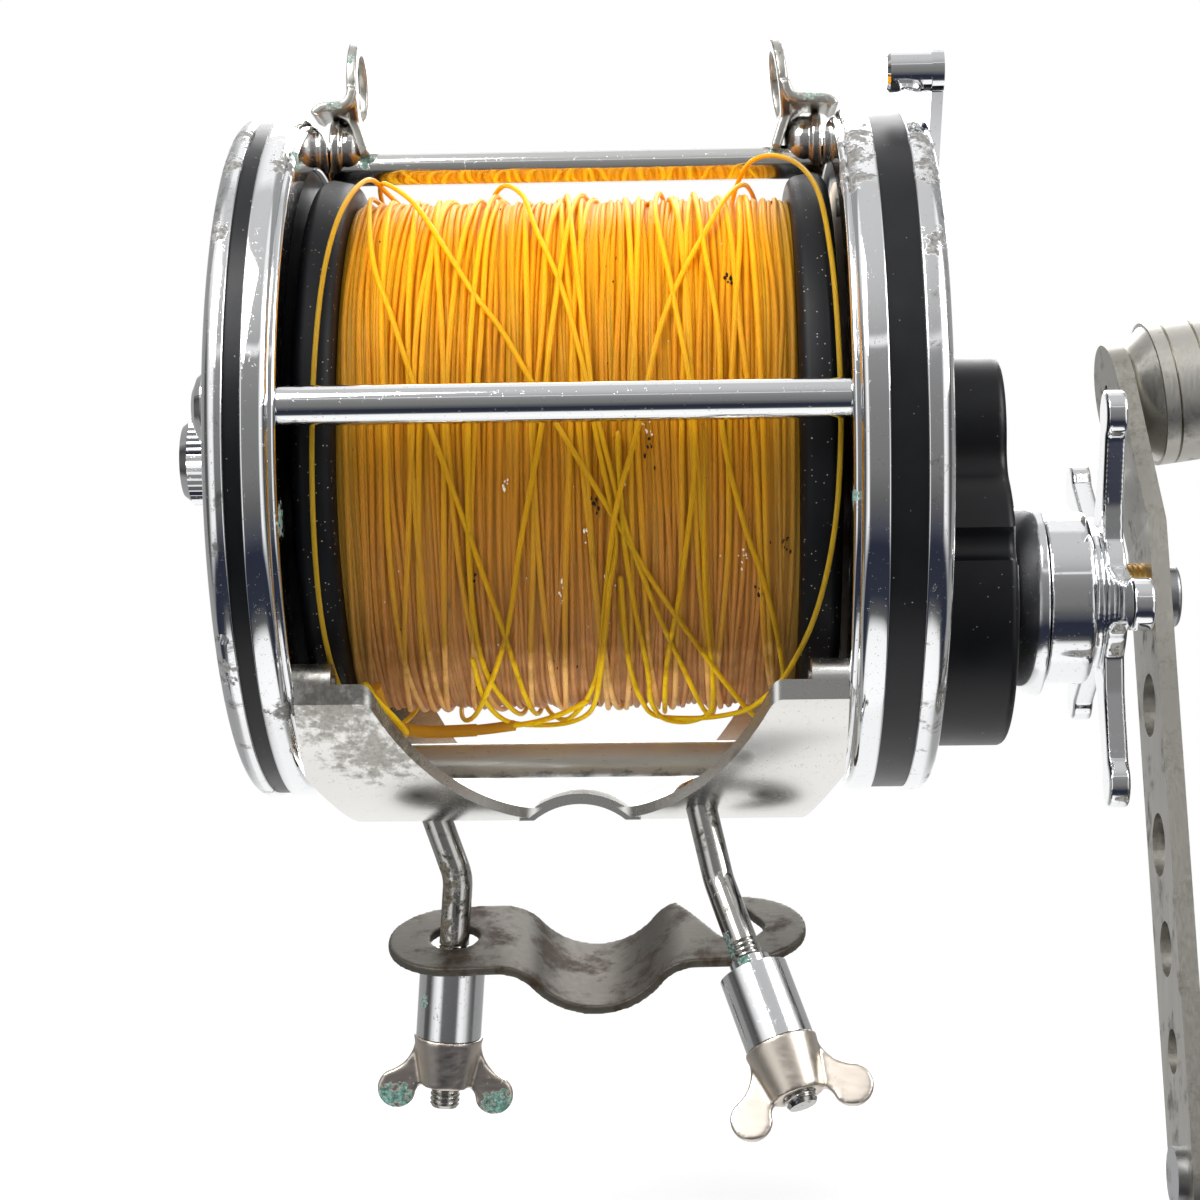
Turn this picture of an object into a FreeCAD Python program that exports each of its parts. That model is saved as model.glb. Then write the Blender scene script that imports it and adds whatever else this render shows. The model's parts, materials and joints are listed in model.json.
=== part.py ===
import FreeCAD, Part
import math
import os

# Trolling reel with rod clamp, in millimetres.
# The spool axis runs along X with the crank on the +X side, +Z is up through the harness lugs, and the angler
# sits on the -Y side. The frame's origin is the rod's axis, under the arch of the foot. The functions below work
# in spool coordinates, whose origin is on the spool axis midway between the rings, and save() moves them up.

V = FreeCAD.Vector
X_AXIS = V(1, 0, 0)
RUNNING = 0.05          # radial clearance of a turning fit
FIXED_FIT = 0.04        # radial clearance of a fixed fit
FACE_GAP = 0.3          # gap between faces that move past each other

# Rings, side plates and pillars
RING_R = 66.0
RING_WALL = 10.0
RING_BORE_R = RING_R - RING_WALL
BAND_STEP = 0.8         # black band inside the rings' rim
PLATE_BAND_R = RING_R - BAND_STEP
PLUG_R = RING_BORE_R - 0.1
HALF_GAP = 49.2         # mid-plane to the inner face of each inner ring
INNER_RING_LEFT = 5.9
INNER_RING_RIGHT = 6.3
BAND_LEFT = 2.9
BAND_RIGHT = 6.2
OUTER_RING_LEFT = 4.0
OUTER_RING_RIGHT = 4.8
RING_EDGE_ROUND = 2.2
OUTER_EDGE_ROUND = 2.8
PLUG_RECESS = 1.2       # plate face behind the inner ring's face
FACE_RECESS = 1.4       # plate face behind the outer ring's face
PILLAR_R = 3.5
PILLAR_INSET = 5.2      # ring's rim to the pillar's axis
PILLAR_CIRCLE_R = RING_R - PILLAR_INSET
PILLAR_ANGLES = {"rear": 175.6, "top": 77.7, "bottom": -80.3, "front": -14.0}

# Side screws, which run through rings and plates into the pillars and the foot
SCREW_R = 1.5
SCREW_HEAD_R = 2.7
SCREW_HEAD = 1.4
SCREW_REACH = 7.0       # into the pillar
SLOT_WIDTH = 0.8
RIM_HOLE_R = 1.1

# Foot
ROD_R = 14.0
FOOT_SHEET = 2.0
FOOT_ARC_R = RING_BORE_R + 0.5
FOOT_DROP = RING_R + 5.0    # spool axis to the underside
ROD_BELOW_FOOT = 10.5   # underside of the foot to the rod's axis
SPOOL_HEIGHT = FOOT_DROP + ROD_BELOW_FOOT
FOOT_WING_INNER_X = 36.0
FOOT_WAIST_X = 9.5
FOOT_WAIST_Y = 9.5
FOOT_CORNER_R = 3.0
FOOT_BOTTOM_X = 42.0
FOOT_SIDE_Z = -FOOT_DROP + 10.0
FOOT_BOSS_R = 3.6
FOOT_BOSS_LENGTH = 6.5
FOOT_BOSS_ANGLE = -45.6
FOOT_WING_Y = PILLAR_CIRCLE_R * math.cos(math.radians(FOOT_BOSS_ANGLE)) + FOOT_BOSS_R

# Rod clamp
STUD_R = 2.9
STUD_HEAD_R = 5.5
STUD_HEAD = 3.2
HEAD_RAISE = 0.9
STUD_BEND_R = 9.0
STUD_TAIL = 45.5        # bend to the lower end
THREAD_LENGTH = 32.5
THREAD_PITCH = 1.0
THREAD_DEPTH = 0.4
STUD_LEFT_XY = (-28.7, -2.0)
STUD_LEFT_BEND = (-24.1, -2.0, -FOOT_DROP - 10.9)
STUD_LEFT_DIRECTION = (-0.078, 0.09, -0.99)
STUD_RIGHT_XY = (22.8, -17.2)
STUD_RIGHT_BEND = (26.2, -21.0, -FOOT_DROP - 10.2)
STUD_RIGHT_DIRECTION = (0.31, -0.44, -0.84)
SLEEVE_R = 6.4
SLEEVE_LENGTH = 14.4
SPIGOT_R = 3.8
SPIGOT_LENGTH = 2.4
SLEEVE_TOP_LEFT = 16.9  # bend to the shoulder of the sleeve, along the stud
SLEEVE_TOP_RIGHT = 19.2
NUT_HUB_R = 6.85
NUT_TIP_R = 4.9
NUT_HEIGHT = 10.0
NUT_WING = 2.0
NUT_SPAN = 26.7
NUT_LOBE_R = 3.8
NUT_REACH = 15.0
BRACKET_SHEET = 1.8
BRACKET_WIDTH = 26.0
BRACKET_HOLE_R = 4.75
BRACKET_PITCH = 55.4
BRACKET_U_DEPTH = 9.2
BRACKET_SHOULDER_R = 10.0
BRACKET_TILT = 21.0
BRACKET_ROLL = 1.6
BRACKET_DROP = 11.9     # bend to the bracket, along the left stud

# Harness lugs
LUG_SHEET = 2.2
LUG_X_LEFT = -44.6
LUG_X_RIGHT = 41.8
LUG_LEAN_RIGHT = 7.0
EYE_R = 5.9
EYE_RIM = 3.2
EYE_Z = RING_R + 9.9
LUG_COLLAR_R = 6.3
LUG_STRAP_WIDTH = 9.0
LUG_STRAP_REACH = 4.4   # strap over the rim of the ring

# Spool
FLANGE_R = RING_BORE_R - 2.0
FLANGE_IN = 41.0
FLANGE_OUT = 48.4
FLANGE_ROUND = 3.0
ARBOR_R = 20.0
SHAFT_R = 4.0
LINE_D = 1.2
LINE_R = FLANGE_R - 5.0     # centre of the outer layer
LINE_LOOPS = 16
LINE_END_BEND = 3.0
CLICK_TEETH = 36
CLICK_GEAR_R = 16.0
CLICK_TOOTH = 2.2

# Left side: bearing, cap and click
BEARING_R = 7.0
BEARING_LEFT_LENGTH = 4.6
CAP_R = 8.7
CAP_END_X = -77.0
CAP_WALL = 2.0
KNURLS = 40
KNURL_DEPTH = 0.4
BOSS_TUBE_R = 6.4
BOSS_TUBE_END_X = -73.0
BOSS_R = 12.0
BOSS_END_X = -66.0
BUTTON_YZ = (-25.8, 7.8)
BUTTON_ANGLE = math.degrees(math.atan2(BUTTON_YZ[1], BUTTON_YZ[0]))
BUTTON_R = 7.0
BUTTON_BOSS_R = 9.5
BUTTON_END_X = -70.5
BUTTON_STEM_R = 2.8
CLICK_TRAVEL = 5.0
CLICK_WIRE_R = 0.5
CLICK_SPRING_HALF = 4.3
CLICK_SPRING_REACH = 5.0
RECESS_R = math.hypot(*BUTTON_YZ) + CLICK_SPRING_REACH + CLICK_SPRING_HALF + 3.75
PEG_R = 1.6

# Right side: housing, bridge and gears
CRANK_DROP = 29.0       # spool axis to crank axis
GEAR_MODULE = 1.0
MAIN_TEETH = 40
PINION_TEETH = 18
PRESSURE_ANGLE = 20.0
BACKLASH = 0.14
HOUSING_END_X = 82.0
HOUSING_WALL = 2.5
LOBE_UPPER = (15.0, 3.0)    # radius, height above the spool axis
LOBE_MAIN_R = 28.5
LOBE_BLEND_R = 6.0
CAVITY_LOBES = (12.6, 24.4)
NOTCH_R = 3.6
NOTCH_ANGLE = 20.0
HOUSING_ROUND = 1.6
CAVITY_R = PLUG_R - 7.4
BRIDGE_R = PLUG_R - 3.9
BRIDGE_SCREW_CIRCLE_R = BRIDGE_R - 1.8
BRIDGE_SHEET = 2.0
MAIN_GEAR_X = (70.0, 75.0)
PINION_X = (66.0, 75.5)
YOKE_X = (57.8, 59.3)
YOKE_TRAVEL = 3.0
YOKE_POST_Y = 14.0
YOKE_POST_R = 1.5
SPINDLE_R = 2.5
TANG = (7.0, 4.0, 2.4)
LEVER_PIVOT_R = 30.0
LEVER_PIVOT_ANGLE = 84.8
LEVER_REST = 42.0       # from the radial line, towards the angler
KNOB_CIRCLE_R = RING_R + 7.1
LEVER_LENGTH = (math.sqrt(KNOB_CIRCLE_R ** 2 - (LEVER_PIVOT_R * math.sin(math.radians(LEVER_REST))) ** 2)
                - LEVER_PIVOT_R * math.cos(math.radians(LEVER_REST)))
LEVER_SHEET = 2.2
LEVER_X = 67.2
KNOB_R = 3.75
KNOB_IN_X = 59.0
CAM_R = 6.8
CAM_FOLLOWER_R = 6.0
LEVER_THROW = 84.0
SLEEVE_SHAFT_R = 6.5
POST_R = 4.0
RATCHET_TEETH = 12
RATCHET_R = 16.0
RATCHET_DEPTH = 2.5
RATCHET_X = (55.4, 57.3)
RATCHET_PHASE = -1.0
DOG_PIVOT = (24.0, -21.0)

# Star drag and crank
COLLAR_R = 14.8
COLLAR_RIM_R = 19.0
COLLAR_X = (82.7, 89.3)
STAR_HUB_R = 16.8
STAR_HUB_X = (89.6, 98.3)
STAR_X = (100.3, 104.3)
STAR_ARMS = 5
STAR_TIP_R = 41.5
STAR_ARM_END_R = 4.8
STAR_ANGLE = 183.0      # first arm, from +Y towards +Z
ARM_X = (109.5, 113.0)
ARM_WIDTH = 22.0
ARM_ANGLE = -105.0      # long end, from +Y towards +Z
GRIP_OFFSET = 110.0
WEIGHT_OFFSET = 41.0
ARM_BEND_START = 12.0
ARM_BEND = 8.0
ARM_HOLES = ((21.7, 6.1), (48.8, 6.0), (68.5, 5.2), (87.4, 4.15))
NUT_R = 6.0
NUT_END_X = 116.2
LOCK_SCREW_YZ = (12.0, 6.2)     # with the long arm along +Y
LOCK_SCREW_R = 1.2
LOCK_SCREW_REACH = 2.0
LOCK_HEAD_R = 2.6
LOCK_HEAD = 1.6
WEIGHT_R = 14.25
WEIGHT_NECK_R = 10.5
WEIGHT_NECK = 4.5
WEIGHT_BODY = 14.4
GRIP_LENGTH = 72.0
GRIP_R = 13.0
SPINDLE_GRIP_R = 3.5


def cyl_x(r, x0, x1, y=0.0, z=0.0):
    """A cylinder along X."""
    return Part.makeCylinder(r, x1 - x0, V(x0, y, z), X_AXIS)


def cyl_y(r, half, z):
    """A cylinder along Y, as far to each side of the middle."""
    return Part.makeCylinder(r, 2 * half, V(0, -half, z), V(0, 1, 0))


def tube_x(r_out, r_in, x0, x1, y=0.0, z=0.0):
    """A tube along X."""
    return cyl_x(r_out, x0, x1, y, z).cut(cyl_x(r_in, x0 - 1, x1 + 1, y, z))


def lathe(profile, y=0.0, z=0.0):
    """Turn a closed (x, r) outline about the line y, z along X."""
    points = [V(x, y + r, z) for x, r in profile]
    face = Part.Face(Part.makePolygon(points + points[:1]))
    return face.revolve(V(0, y, z), X_AXIS, 360)


def plate_x(outline, x0, x1):
    """Extrude a closed (y, z) outline along X."""
    points = [V(x0, y, z) for y, z in outline]
    return Part.Face(Part.makePolygon(points + points[:1])).extrude(V(x1 - x0, 0, 0))


def block(x0, x1, y0, y1, z0, z1):
    """A box between its limits."""
    return Part.makeBox(x1 - x0, y1 - y0, z1 - z0, V(x0, y0, z0))


def polar(radius, degrees, y=0.0, z=0.0):
    """A (y, z) point at an angle from +Y towards +Z."""
    a = math.radians(degrees)
    return (y + radius * math.cos(a), z + radius * math.sin(a))


def turned(shape, degrees, y=0.0, z=0.0):
    """A copy turned about the line y, z along X, from +Y towards +Z."""
    copy = shape.copy()
    copy.rotate(V(0, y, z), X_AXIS, degrees)
    return copy


def fuse(shapes):
    """Join overlapping solids into one."""
    return shapes[0].multiFuse(shapes[1:]).removeSplitter()


def round_rims(shape, radius, rims):
    """Fillet the circular edges about X that lie at the given (x, r)."""
    edges = []
    for edge in shape.Edges:
        curve = edge.Curve
        if not isinstance(curve, Part.Circle):
            continue
        for x, r in rims:
            if abs(curve.Center.x - x) < 0.01 and abs(curve.Radius - r) < 0.01:
                edges.append(edge)
    return shape.makeFillet(radius, edges)


def stadium(length, width, x0, x1):
    """A round-ended bar from the origin along +Y, extruded along X."""
    r = width / 2
    bar = block(x0, x1, 0, length, -r, r)
    return fuse([bar, cyl_x(r, x0, x1), cyl_x(r, x0, x1, length, 0)])


def save(name, shapes):
    """Write one node, moved from spool coordinates to the part's frame."""
    shape = shapes[0] if len(shapes) == 1 else Part.makeCompound(shapes)
    shape = shape.copy()
    shape.translate(V(0, 0, SPOOL_HEIGHT))
    shape.exportStep("parts/" + name + ".step")


# Places along X that follow from the sizes above
L_RING = (-HALF_GAP - INNER_RING_LEFT, -HALF_GAP)
L_BAND = (L_RING[0] - BAND_LEFT, L_RING[0])
L_OUTER = (L_BAND[0] - OUTER_RING_LEFT, L_BAND[0])
R_RING = (HALF_GAP, HALF_GAP + INNER_RING_RIGHT)
R_BAND = (R_RING[1], R_RING[1] + BAND_RIGHT)
R_OUTER = (R_BAND[1], R_BAND[1] + OUTER_RING_RIGHT)
L_FACE = L_OUTER[0] + FACE_RECESS
R_FACE = R_OUTER[1] - FACE_RECESS
PLUG_IN = HALF_GAP + PLUG_RECESS
R_WALL_IN = R_FACE - HOUSING_WALL
L_WALL_IN = L_FACE + 3.0
HOUSING_IN = HOUSING_END_X - HOUSING_WALL
BRIDGE_X = (PLUG_IN, PLUG_IN + BRIDGE_SHEET)
PIVOT = polar(LEVER_PIVOT_R, LEVER_PIVOT_ANGLE)

PILLAR_POINTS = {k: polar(PILLAR_CIRCLE_R, a) for k, a in PILLAR_ANGLES.items()}
FOOT_POINTS = [polar(PILLAR_CIRCLE_R, a) for a in (180.0 - FOOT_BOSS_ANGLE, FOOT_BOSS_ANGLE)]
SCREW_POINTS = list(PILLAR_POINTS.values()) + FOOT_POINTS


def drilled(shape, x0, x1):
    """Cut the side screws' holes through a ring or plate."""
    holes = [cyl_x(SCREW_R + FIXED_FIT, x0 - 1, x1 + 1, y, z) for y, z in SCREW_POINTS]
    return shape.cut(Part.makeCompound(holes))


def rings():
    """Four chrome rings: one each side of each black plate."""
    for name, (x0, x1), inner in (("ring_inner_left", L_RING, 1), ("ring_inner_right", R_RING, 0)):
        ring = tube_x(RING_R, RING_BORE_R, x0, x1)
        near, far = (x1, x0) if inner else (x0, x1)
        ring = round_rims(ring, RING_EDGE_ROUND, [(near, RING_R)])
        ring = round_rims(ring, 0.5, [(far, RING_R), (near, RING_BORE_R)])
        save(name, [drilled(ring, x0, x1)])
    for name, (x0, x1), end in (("ring_outer_left", L_OUTER, 0), ("ring_outer_right", R_OUTER, 1)):
        ring = tube_x(RING_R, RING_BORE_R, x0, x1)
        out, back = (x1, x0) if end else (x0, x1)
        ring = round_rims(ring, OUTER_EDGE_ROUND, [(out, RING_R)])
        ring = round_rims(ring, 0.5, [(back, RING_R), (out, RING_BORE_R)])
        ring = drilled(ring, x0, x1)
        sign = 1 if end else -1
        seats = [cyl_x(SCREW_HEAD_R + 0.2, min(out, out - sign * SCREW_HEAD), max(out, out - sign * SCREW_HEAD), y, z)
                 for y, z in SCREW_POINTS]
        ring = ring.cut(Part.makeCompound(seats))
        if not end:
            ring = ring.cut(rim_hole(x0, x1))
        save(name, [ring])


def rim_hole(x0, x1):
    """The grub screw's hole in the rim of the left outer ring."""
    hole = Part.makeCylinder(RIM_HOLE_R, 4, V((x0 + x1) / 2, RING_R - 2.5, 0), V(0, 1, 0))
    return turned(hole, 212.5)


def side_screws(name, out, sign):
    """Eight slotted screws with their heads in the outer ring's seats."""
    screws = []
    tip = sign * (HALF_GAP - SCREW_REACH)
    for y, z in SCREW_POINTS:
        head_in = out - sign * SCREW_HEAD
        head = cyl_x(SCREW_HEAD_R, min(out, head_in), max(out, head_in), y, z)
        shank = cyl_x(SCREW_R, min(tip, head_in), max(tip, head_in), y, z)
        slot = block(min(out, out - sign * 0.6), max(out, out - sign * 0.6),
                     y - SCREW_HEAD_R, y + SCREW_HEAD_R, z - SLOT_WIDTH / 2, z + SLOT_WIDTH / 2)
        screws.append(fuse([head, shank]).cut(slot))
    save(name, screws)


def pillars():
    """Round bars that tie the two sides together, tapped at both ends."""
    for name, (y, z) in PILLAR_POINTS.items():
        bar = cyl_x(PILLAR_R, -HALF_GAP, HALF_GAP, y, z)
        for s in (-1, 1):
            a, b = sorted((s * (HALF_GAP + 1), s * (HALF_GAP - SCREW_REACH - 0.5)))
            bar = bar.cut(cyl_x(SCREW_R + FIXED_FIT, a, b, y, z))
        save("pillar_" + name, [bar])


def foot():
    """Stamped foot: a curved sheet with four wings, an arch for the rod and four bosses."""
    centre_z = FOOT_ARC_R - FOOT_DROP
    sheet = tube_x(FOOT_ARC_R, FOOT_ARC_R - FOOT_SHEET, -HALF_GAP, HALF_GAP, 0, centre_z)
    plan = [(-HALF_GAP, -FOOT_WING_Y), (-FOOT_WING_INNER_X, -FOOT_WING_Y), (-FOOT_WAIST_X, -FOOT_WAIST_Y),
            (FOOT_WAIST_X, -FOOT_WAIST_Y), (FOOT_WING_INNER_X, -FOOT_WING_Y), (HALF_GAP, -FOOT_WING_Y),
            (HALF_GAP, FOOT_WING_Y), (FOOT_WING_INNER_X, FOOT_WING_Y), (FOOT_WAIST_X, FOOT_WAIST_Y),
            (-FOOT_WAIST_X, FOOT_WAIST_Y), (-FOOT_WING_INNER_X, FOOT_WING_Y), (-HALF_GAP, FOOT_WING_Y)]
    points = [V(x, y, -FOOT_DROP - 5) for x, y in plan]
    prism = Part.Face(Part.makePolygon(points + points[:1])).extrude(V(0, 0, FOOT_DROP + 5 + centre_z))
    corners = [e for e in prism.Edges if is_upright_at(e, FOOT_WING_INNER_X, FOOT_WING_Y)]
    prism = prism.makeFillet(FOOT_CORNER_R, corners)
    waist = [e for e in prism.Edges if is_upright_at(e, FOOT_WAIST_X, FOOT_WAIST_Y)]
    prism = prism.makeFillet(2 * FOOT_CORNER_R, waist)
    sheet = sheet.common(prism)
    for s in (-1, 1):
        outline = [V(s * HALF_GAP, -FOOT_WING_Y, FOOT_SIDE_Z), V(s * FOOT_BOTTOM_X, -FOOT_WING_Y, -FOOT_DROP - 1),
                   V(s * (HALF_GAP + 5), -FOOT_WING_Y, -FOOT_DROP - 1), V(s * (HALF_GAP + 5), -FOOT_WING_Y, FOOT_SIDE_Z)]
        corner = Part.Face(Part.makePolygon(outline + outline[:1])).extrude(V(0, 2 * FOOT_WING_Y, 0))
        sheet = sheet.cut(corner)
    rod_z = -SPOOL_HEIGHT
    sheet = sheet.cut(cyl_y(ROD_R + FOOT_SHEET / 2, FOOT_WING_Y, rod_z))
    arch = cyl_y(ROD_R + FOOT_SHEET, FOOT_WAIST_Y, rod_z).cut(cyl_y(ROD_R, FOOT_WING_Y, rod_z))
    half = ROD_R + 2 * FOOT_SHEET
    arch = arch.common(block(-half, half, -FOOT_WING_Y, FOOT_WING_Y, -FOOT_DROP + 0.4, 0))
    bosses = []
    for y, z in FOOT_POINTS:
        for s in (-1, 1):
            a, b = sorted((s * HALF_GAP, s * (HALF_GAP - FOOT_BOSS_LENGTH)))
            bosses.append(cyl_x(FOOT_BOSS_R, a, b, y, z))
    body = fuse([sheet, arch] + bosses)
    for y, z in FOOT_POINTS:
        for s in (-1, 1):
            a, b = sorted((s * (HALF_GAP + 1), s * (HALF_GAP - SCREW_REACH - 0.5)))
            body = body.cut(cyl_x(SCREW_R + FIXED_FIT, a, b, y, z))
    for side in ("left", "right"):
        seat, down = head_seat(side)
        body = body.cut(stud_shank(side, STUD_R + FIXED_FIT))
        body = body.cut(Part.makeCylinder(STUD_HEAD_R + FIXED_FIT, STUD_HEAD + 3, seat, down * -1))
    save("reel_foot", [body])


def is_upright_at(edge, x, y):
    """Whether an edge runs along Z at plus or minus x, y."""
    start, end = edge.Vertexes[0].Point, edge.Vertexes[-1].Point
    upright = abs(start.x - end.x) < 0.01 and abs(start.y - end.y) < 0.01
    return upright and abs(abs(start.x) - x) < 0.01 and abs(abs(start.y) - y) < 0.01


def stud_route(side):
    """Head seat, bend and tail direction of a stud, as vectors."""
    x, y = STUD_LEFT_XY if side == "left" else STUD_RIGHT_XY
    bend = V(*(STUD_LEFT_BEND if side == "left" else STUD_RIGHT_BEND))
    tail = V(*(STUD_LEFT_DIRECTION if side == "left" else STUD_RIGHT_DIRECTION))
    tail.normalize()
    inner = FOOT_ARC_R - FOOT_SHEET
    seat = V(x, y, FOOT_ARC_R - FOOT_DROP - math.sqrt(inner ** 2 - y ** 2))
    return seat, bend, tail


def head_seat(side):
    """The underside of the stud's head, which sinks a little into the sloping sheet."""
    seat, bend, _ = stud_route(side)
    down = bend - seat
    down.normalize()
    return seat - down * HEAD_RAISE, down


def stud_shank(side, radius):
    """The stud's upper stretch as a straight bar, from above its head to the bend."""
    seat, bend, _ = stud_route(side)
    along = bend - seat
    along.normalize()
    return Part.makeCylinder(radius, 22, seat - along * 8, along)


def stud(side):
    """A stud with a domed head, a bend and a threaded tail."""
    seat, bend, tail = stud_route(side)
    down = bend - seat
    upper = down.Length
    down.normalize()
    head = domed_head(*head_seat(side))
    angle = down.getAngle(tail)
    setback = STUD_BEND_R * math.tan(angle / 2)
    above = HEAD_RAISE + 0.5
    bar = Part.makeCylinder(STUD_R, upper - setback + above, seat - down * above, down)
    start = bend - down * setback
    end = bend + tail * setback
    middle = arc_middle(start, down, end)
    elbow_path = Part.Wire([Part.Arc(start, middle, end).toShape()])
    ring = Part.Wire([Part.Circle(start, down, STUD_R).toShape()])
    elbow = elbow_path.makePipeShell([ring], True, False)
    plain = STUD_TAIL - THREAD_LENGTH
    lower = Part.makeCylinder(STUD_R, plain - setback, end, tail)
    thread = threaded_bar(STUD_R, THREAD_LENGTH)
    place_along(thread, bend + tail * plain, tail)
    return fuse([bar, head, elbow, lower, thread])


def domed_head(seat, down):
    """A low dome on the foot's upper face, square to the stud."""
    ball_r = (STUD_HEAD_R ** 2 + STUD_HEAD ** 2) / (2 * STUD_HEAD)
    ball = Part.makeSphere(ball_r, seat + down * (ball_r - STUD_HEAD))
    upper_half = Part.makeCylinder(STUD_HEAD_R, STUD_HEAD + 1, seat, down * -1)
    return ball.common(upper_half)


def arc_middle(start, tangent, end):
    """The middle point of the arc that leaves start along tangent and ends at end."""
    chord = end - start
    half = chord.Length / 2
    across = V(chord)
    across.normalize()
    angle = tangent.getAngle(across)
    side = tangent - across * tangent.dot(across)
    side.normalize()
    return start + chord * 0.5 + side * (half * math.tan(angle / 2))


def threaded_bar(radius, length):
    """A thread drawn as rings, from the origin along -Z."""
    outline = [V(0, 0, 0), V(radius, 0, 0)]
    turns = int(length / THREAD_PITCH)
    for i in range(turns):
        z = -i * THREAD_PITCH
        outline.append(V(radius, 0, z - 0.15 * THREAD_PITCH))
        outline.append(V(radius - THREAD_DEPTH, 0, z - 0.5 * THREAD_PITCH))
        outline.append(V(radius, 0, z - 0.85 * THREAD_PITCH))
    outline.append(V(radius - THREAD_DEPTH, 0, -length))
    outline.append(V(0, 0, -length))
    return Part.Face(Part.makePolygon(outline + outline[:1])).revolve(V(0, 0, 0), V(0, 0, 1), 360)


def place_along(shape, point, direction):
    """Turn a shape whose axis is -Z along direction, and move its origin to point."""
    shape.Placement = FreeCAD.Placement(point, FreeCAD.Rotation(V(0, 0, -1), direction))


def clamp_sleeve():
    """A sleeve with a spigot that centres it in the bracket, origin at its shoulder."""
    body = Part.makeCylinder(SLEEVE_R, SLEEVE_LENGTH, V(0, 0, -SLEEVE_LENGTH))
    spigot = Part.makeCylinder(SPIGOT_R, SPIGOT_LENGTH + 1, V(0, 0, -1))
    bore = Part.makeCylinder(STUD_R + RUNNING, SLEEVE_LENGTH + 20, V(0, 0, -SLEEVE_LENGTH - 10))
    return fuse([body, spigot]).cut(bore)


def wing_nut():
    """A wing nut, origin at its upper face, wings along X."""
    hub = Part.makeCone(NUT_TIP_R, NUT_HUB_R, NUT_HEIGHT, V(0, 0, -NUT_HEIGHT))
    parts = [hub] + [nut_wing(s) for s in (-1, 1)]
    bore = Part.makeCylinder(STUD_R + RUNNING, 3 * NUT_HEIGHT, V(0, 0, -2 * NUT_HEIGHT))
    return fuse(parts).cut(bore)


def nut_wing(side):
    """One wing: a waisted neck that leaves the hub under its rim and ends in a round lobe."""
    lobe_x = NUT_SPAN / 2 - NUT_LOBE_R
    lobe_z = -(NUT_REACH - NUT_LOBE_R)

    def place(x, z):
        return V(side * x, -NUT_WING / 2, z)

    def on_lobe(degrees):
        a = math.radians(degrees)
        return place(lobe_x + NUT_LOBE_R * math.cos(a), lobe_z + NUT_LOBE_R * math.sin(a))

    root = place(NUT_HUB_R - 0.4, -1.0)
    inner = place(NUT_TIP_R - 1.2, -NUT_HEIGHT + 0.4)
    upper = Part.Arc(root, place(lobe_x - 1.4, lobe_z / 2), on_lobe(60))
    lobe = Part.Arc(on_lobe(60), on_lobe(-60), on_lobe(200))
    under = Part.Arc(on_lobe(200), place(NUT_TIP_R + 0.4, -NUT_HEIGHT - 0.5), inner)
    lines = [Part.LineSegment(inner, place(3.0, -1.0)), Part.LineSegment(place(3.0, -1.0), root)]
    wire = Part.Wire([c.toShape() for c in [upper, lobe, under] + lines])
    return Part.Face(wire).extrude(V(0, NUT_WING, 0))


def clamp_bracket():
    """The lower strap: a hole at one end, a U for the rod, a slot open to the back at the other."""
    half = BRACKET_PITCH / 2
    u_r = ROD_R + BRACKET_SHEET
    # The U's arc and its two shoulders, as the strap's upper line in x, z.
    centre_z = ROD_R - BRACKET_U_DEPTH
    shoulder_x = math.sqrt((ROD_R + BRACKET_SHOULDER_R) ** 2 - (centre_z + BRACKET_SHOULDER_R) ** 2)
    share = ROD_R / (ROD_R + BRACKET_SHOULDER_R)
    touch = (shoulder_x * share, centre_z - (centre_z + BRACKET_SHOULDER_R) * share)
    upper = strap_line(ROD_R, BRACKET_SHOULDER_R, 0.0, centre_z, shoulder_x, touch, half + BRACKET_WIDTH)
    share_low = u_r / (ROD_R + BRACKET_SHOULDER_R)
    touch_low = (shoulder_x * share_low, centre_z - (centre_z + BRACKET_SHOULDER_R) * share_low)
    lower = strap_line(u_r, BRACKET_SHOULDER_R - BRACKET_SHEET, -BRACKET_SHEET, centre_z, shoulder_x,
                       touch_low, half + BRACKET_WIDTH)
    width = BRACKET_WIDTH / 2
    ends = []
    for s in (-1, 1):
        x = s * (half + BRACKET_WIDTH)
        ends.append(Part.LineSegment(V(x, -width, 0), V(x, -width, -BRACKET_SHEET)).toShape())
    wire = Part.Wire(Part.__sortEdges__(upper + lower + ends))
    strap = Part.Face(wire).extrude(V(0, BRACKET_WIDTH, 0))
    plan = fuse([block(-half, half, -width, width, -20, 20),
                 Part.makeCylinder(width, 40, V(-half, 0, -20)),
                 Part.makeCylinder(width, 40, V(half, 0, -20))])
    strap = strap.common(plan)
    strap = strap.cut(Part.makeCylinder(BRACKET_HOLE_R, 40, V(-half, 0, -20)))
    slot = fuse([Part.makeCylinder(BRACKET_HOLE_R, 40, V(half, 0, -20)),
                 block(half - BRACKET_HOLE_R, half + BRACKET_HOLE_R, 0, 30, -20, 20)])
    slot.rotate(V(half, 0, 0), V(0, 0, 1), 28)
    return strap.cut(slot)


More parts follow.
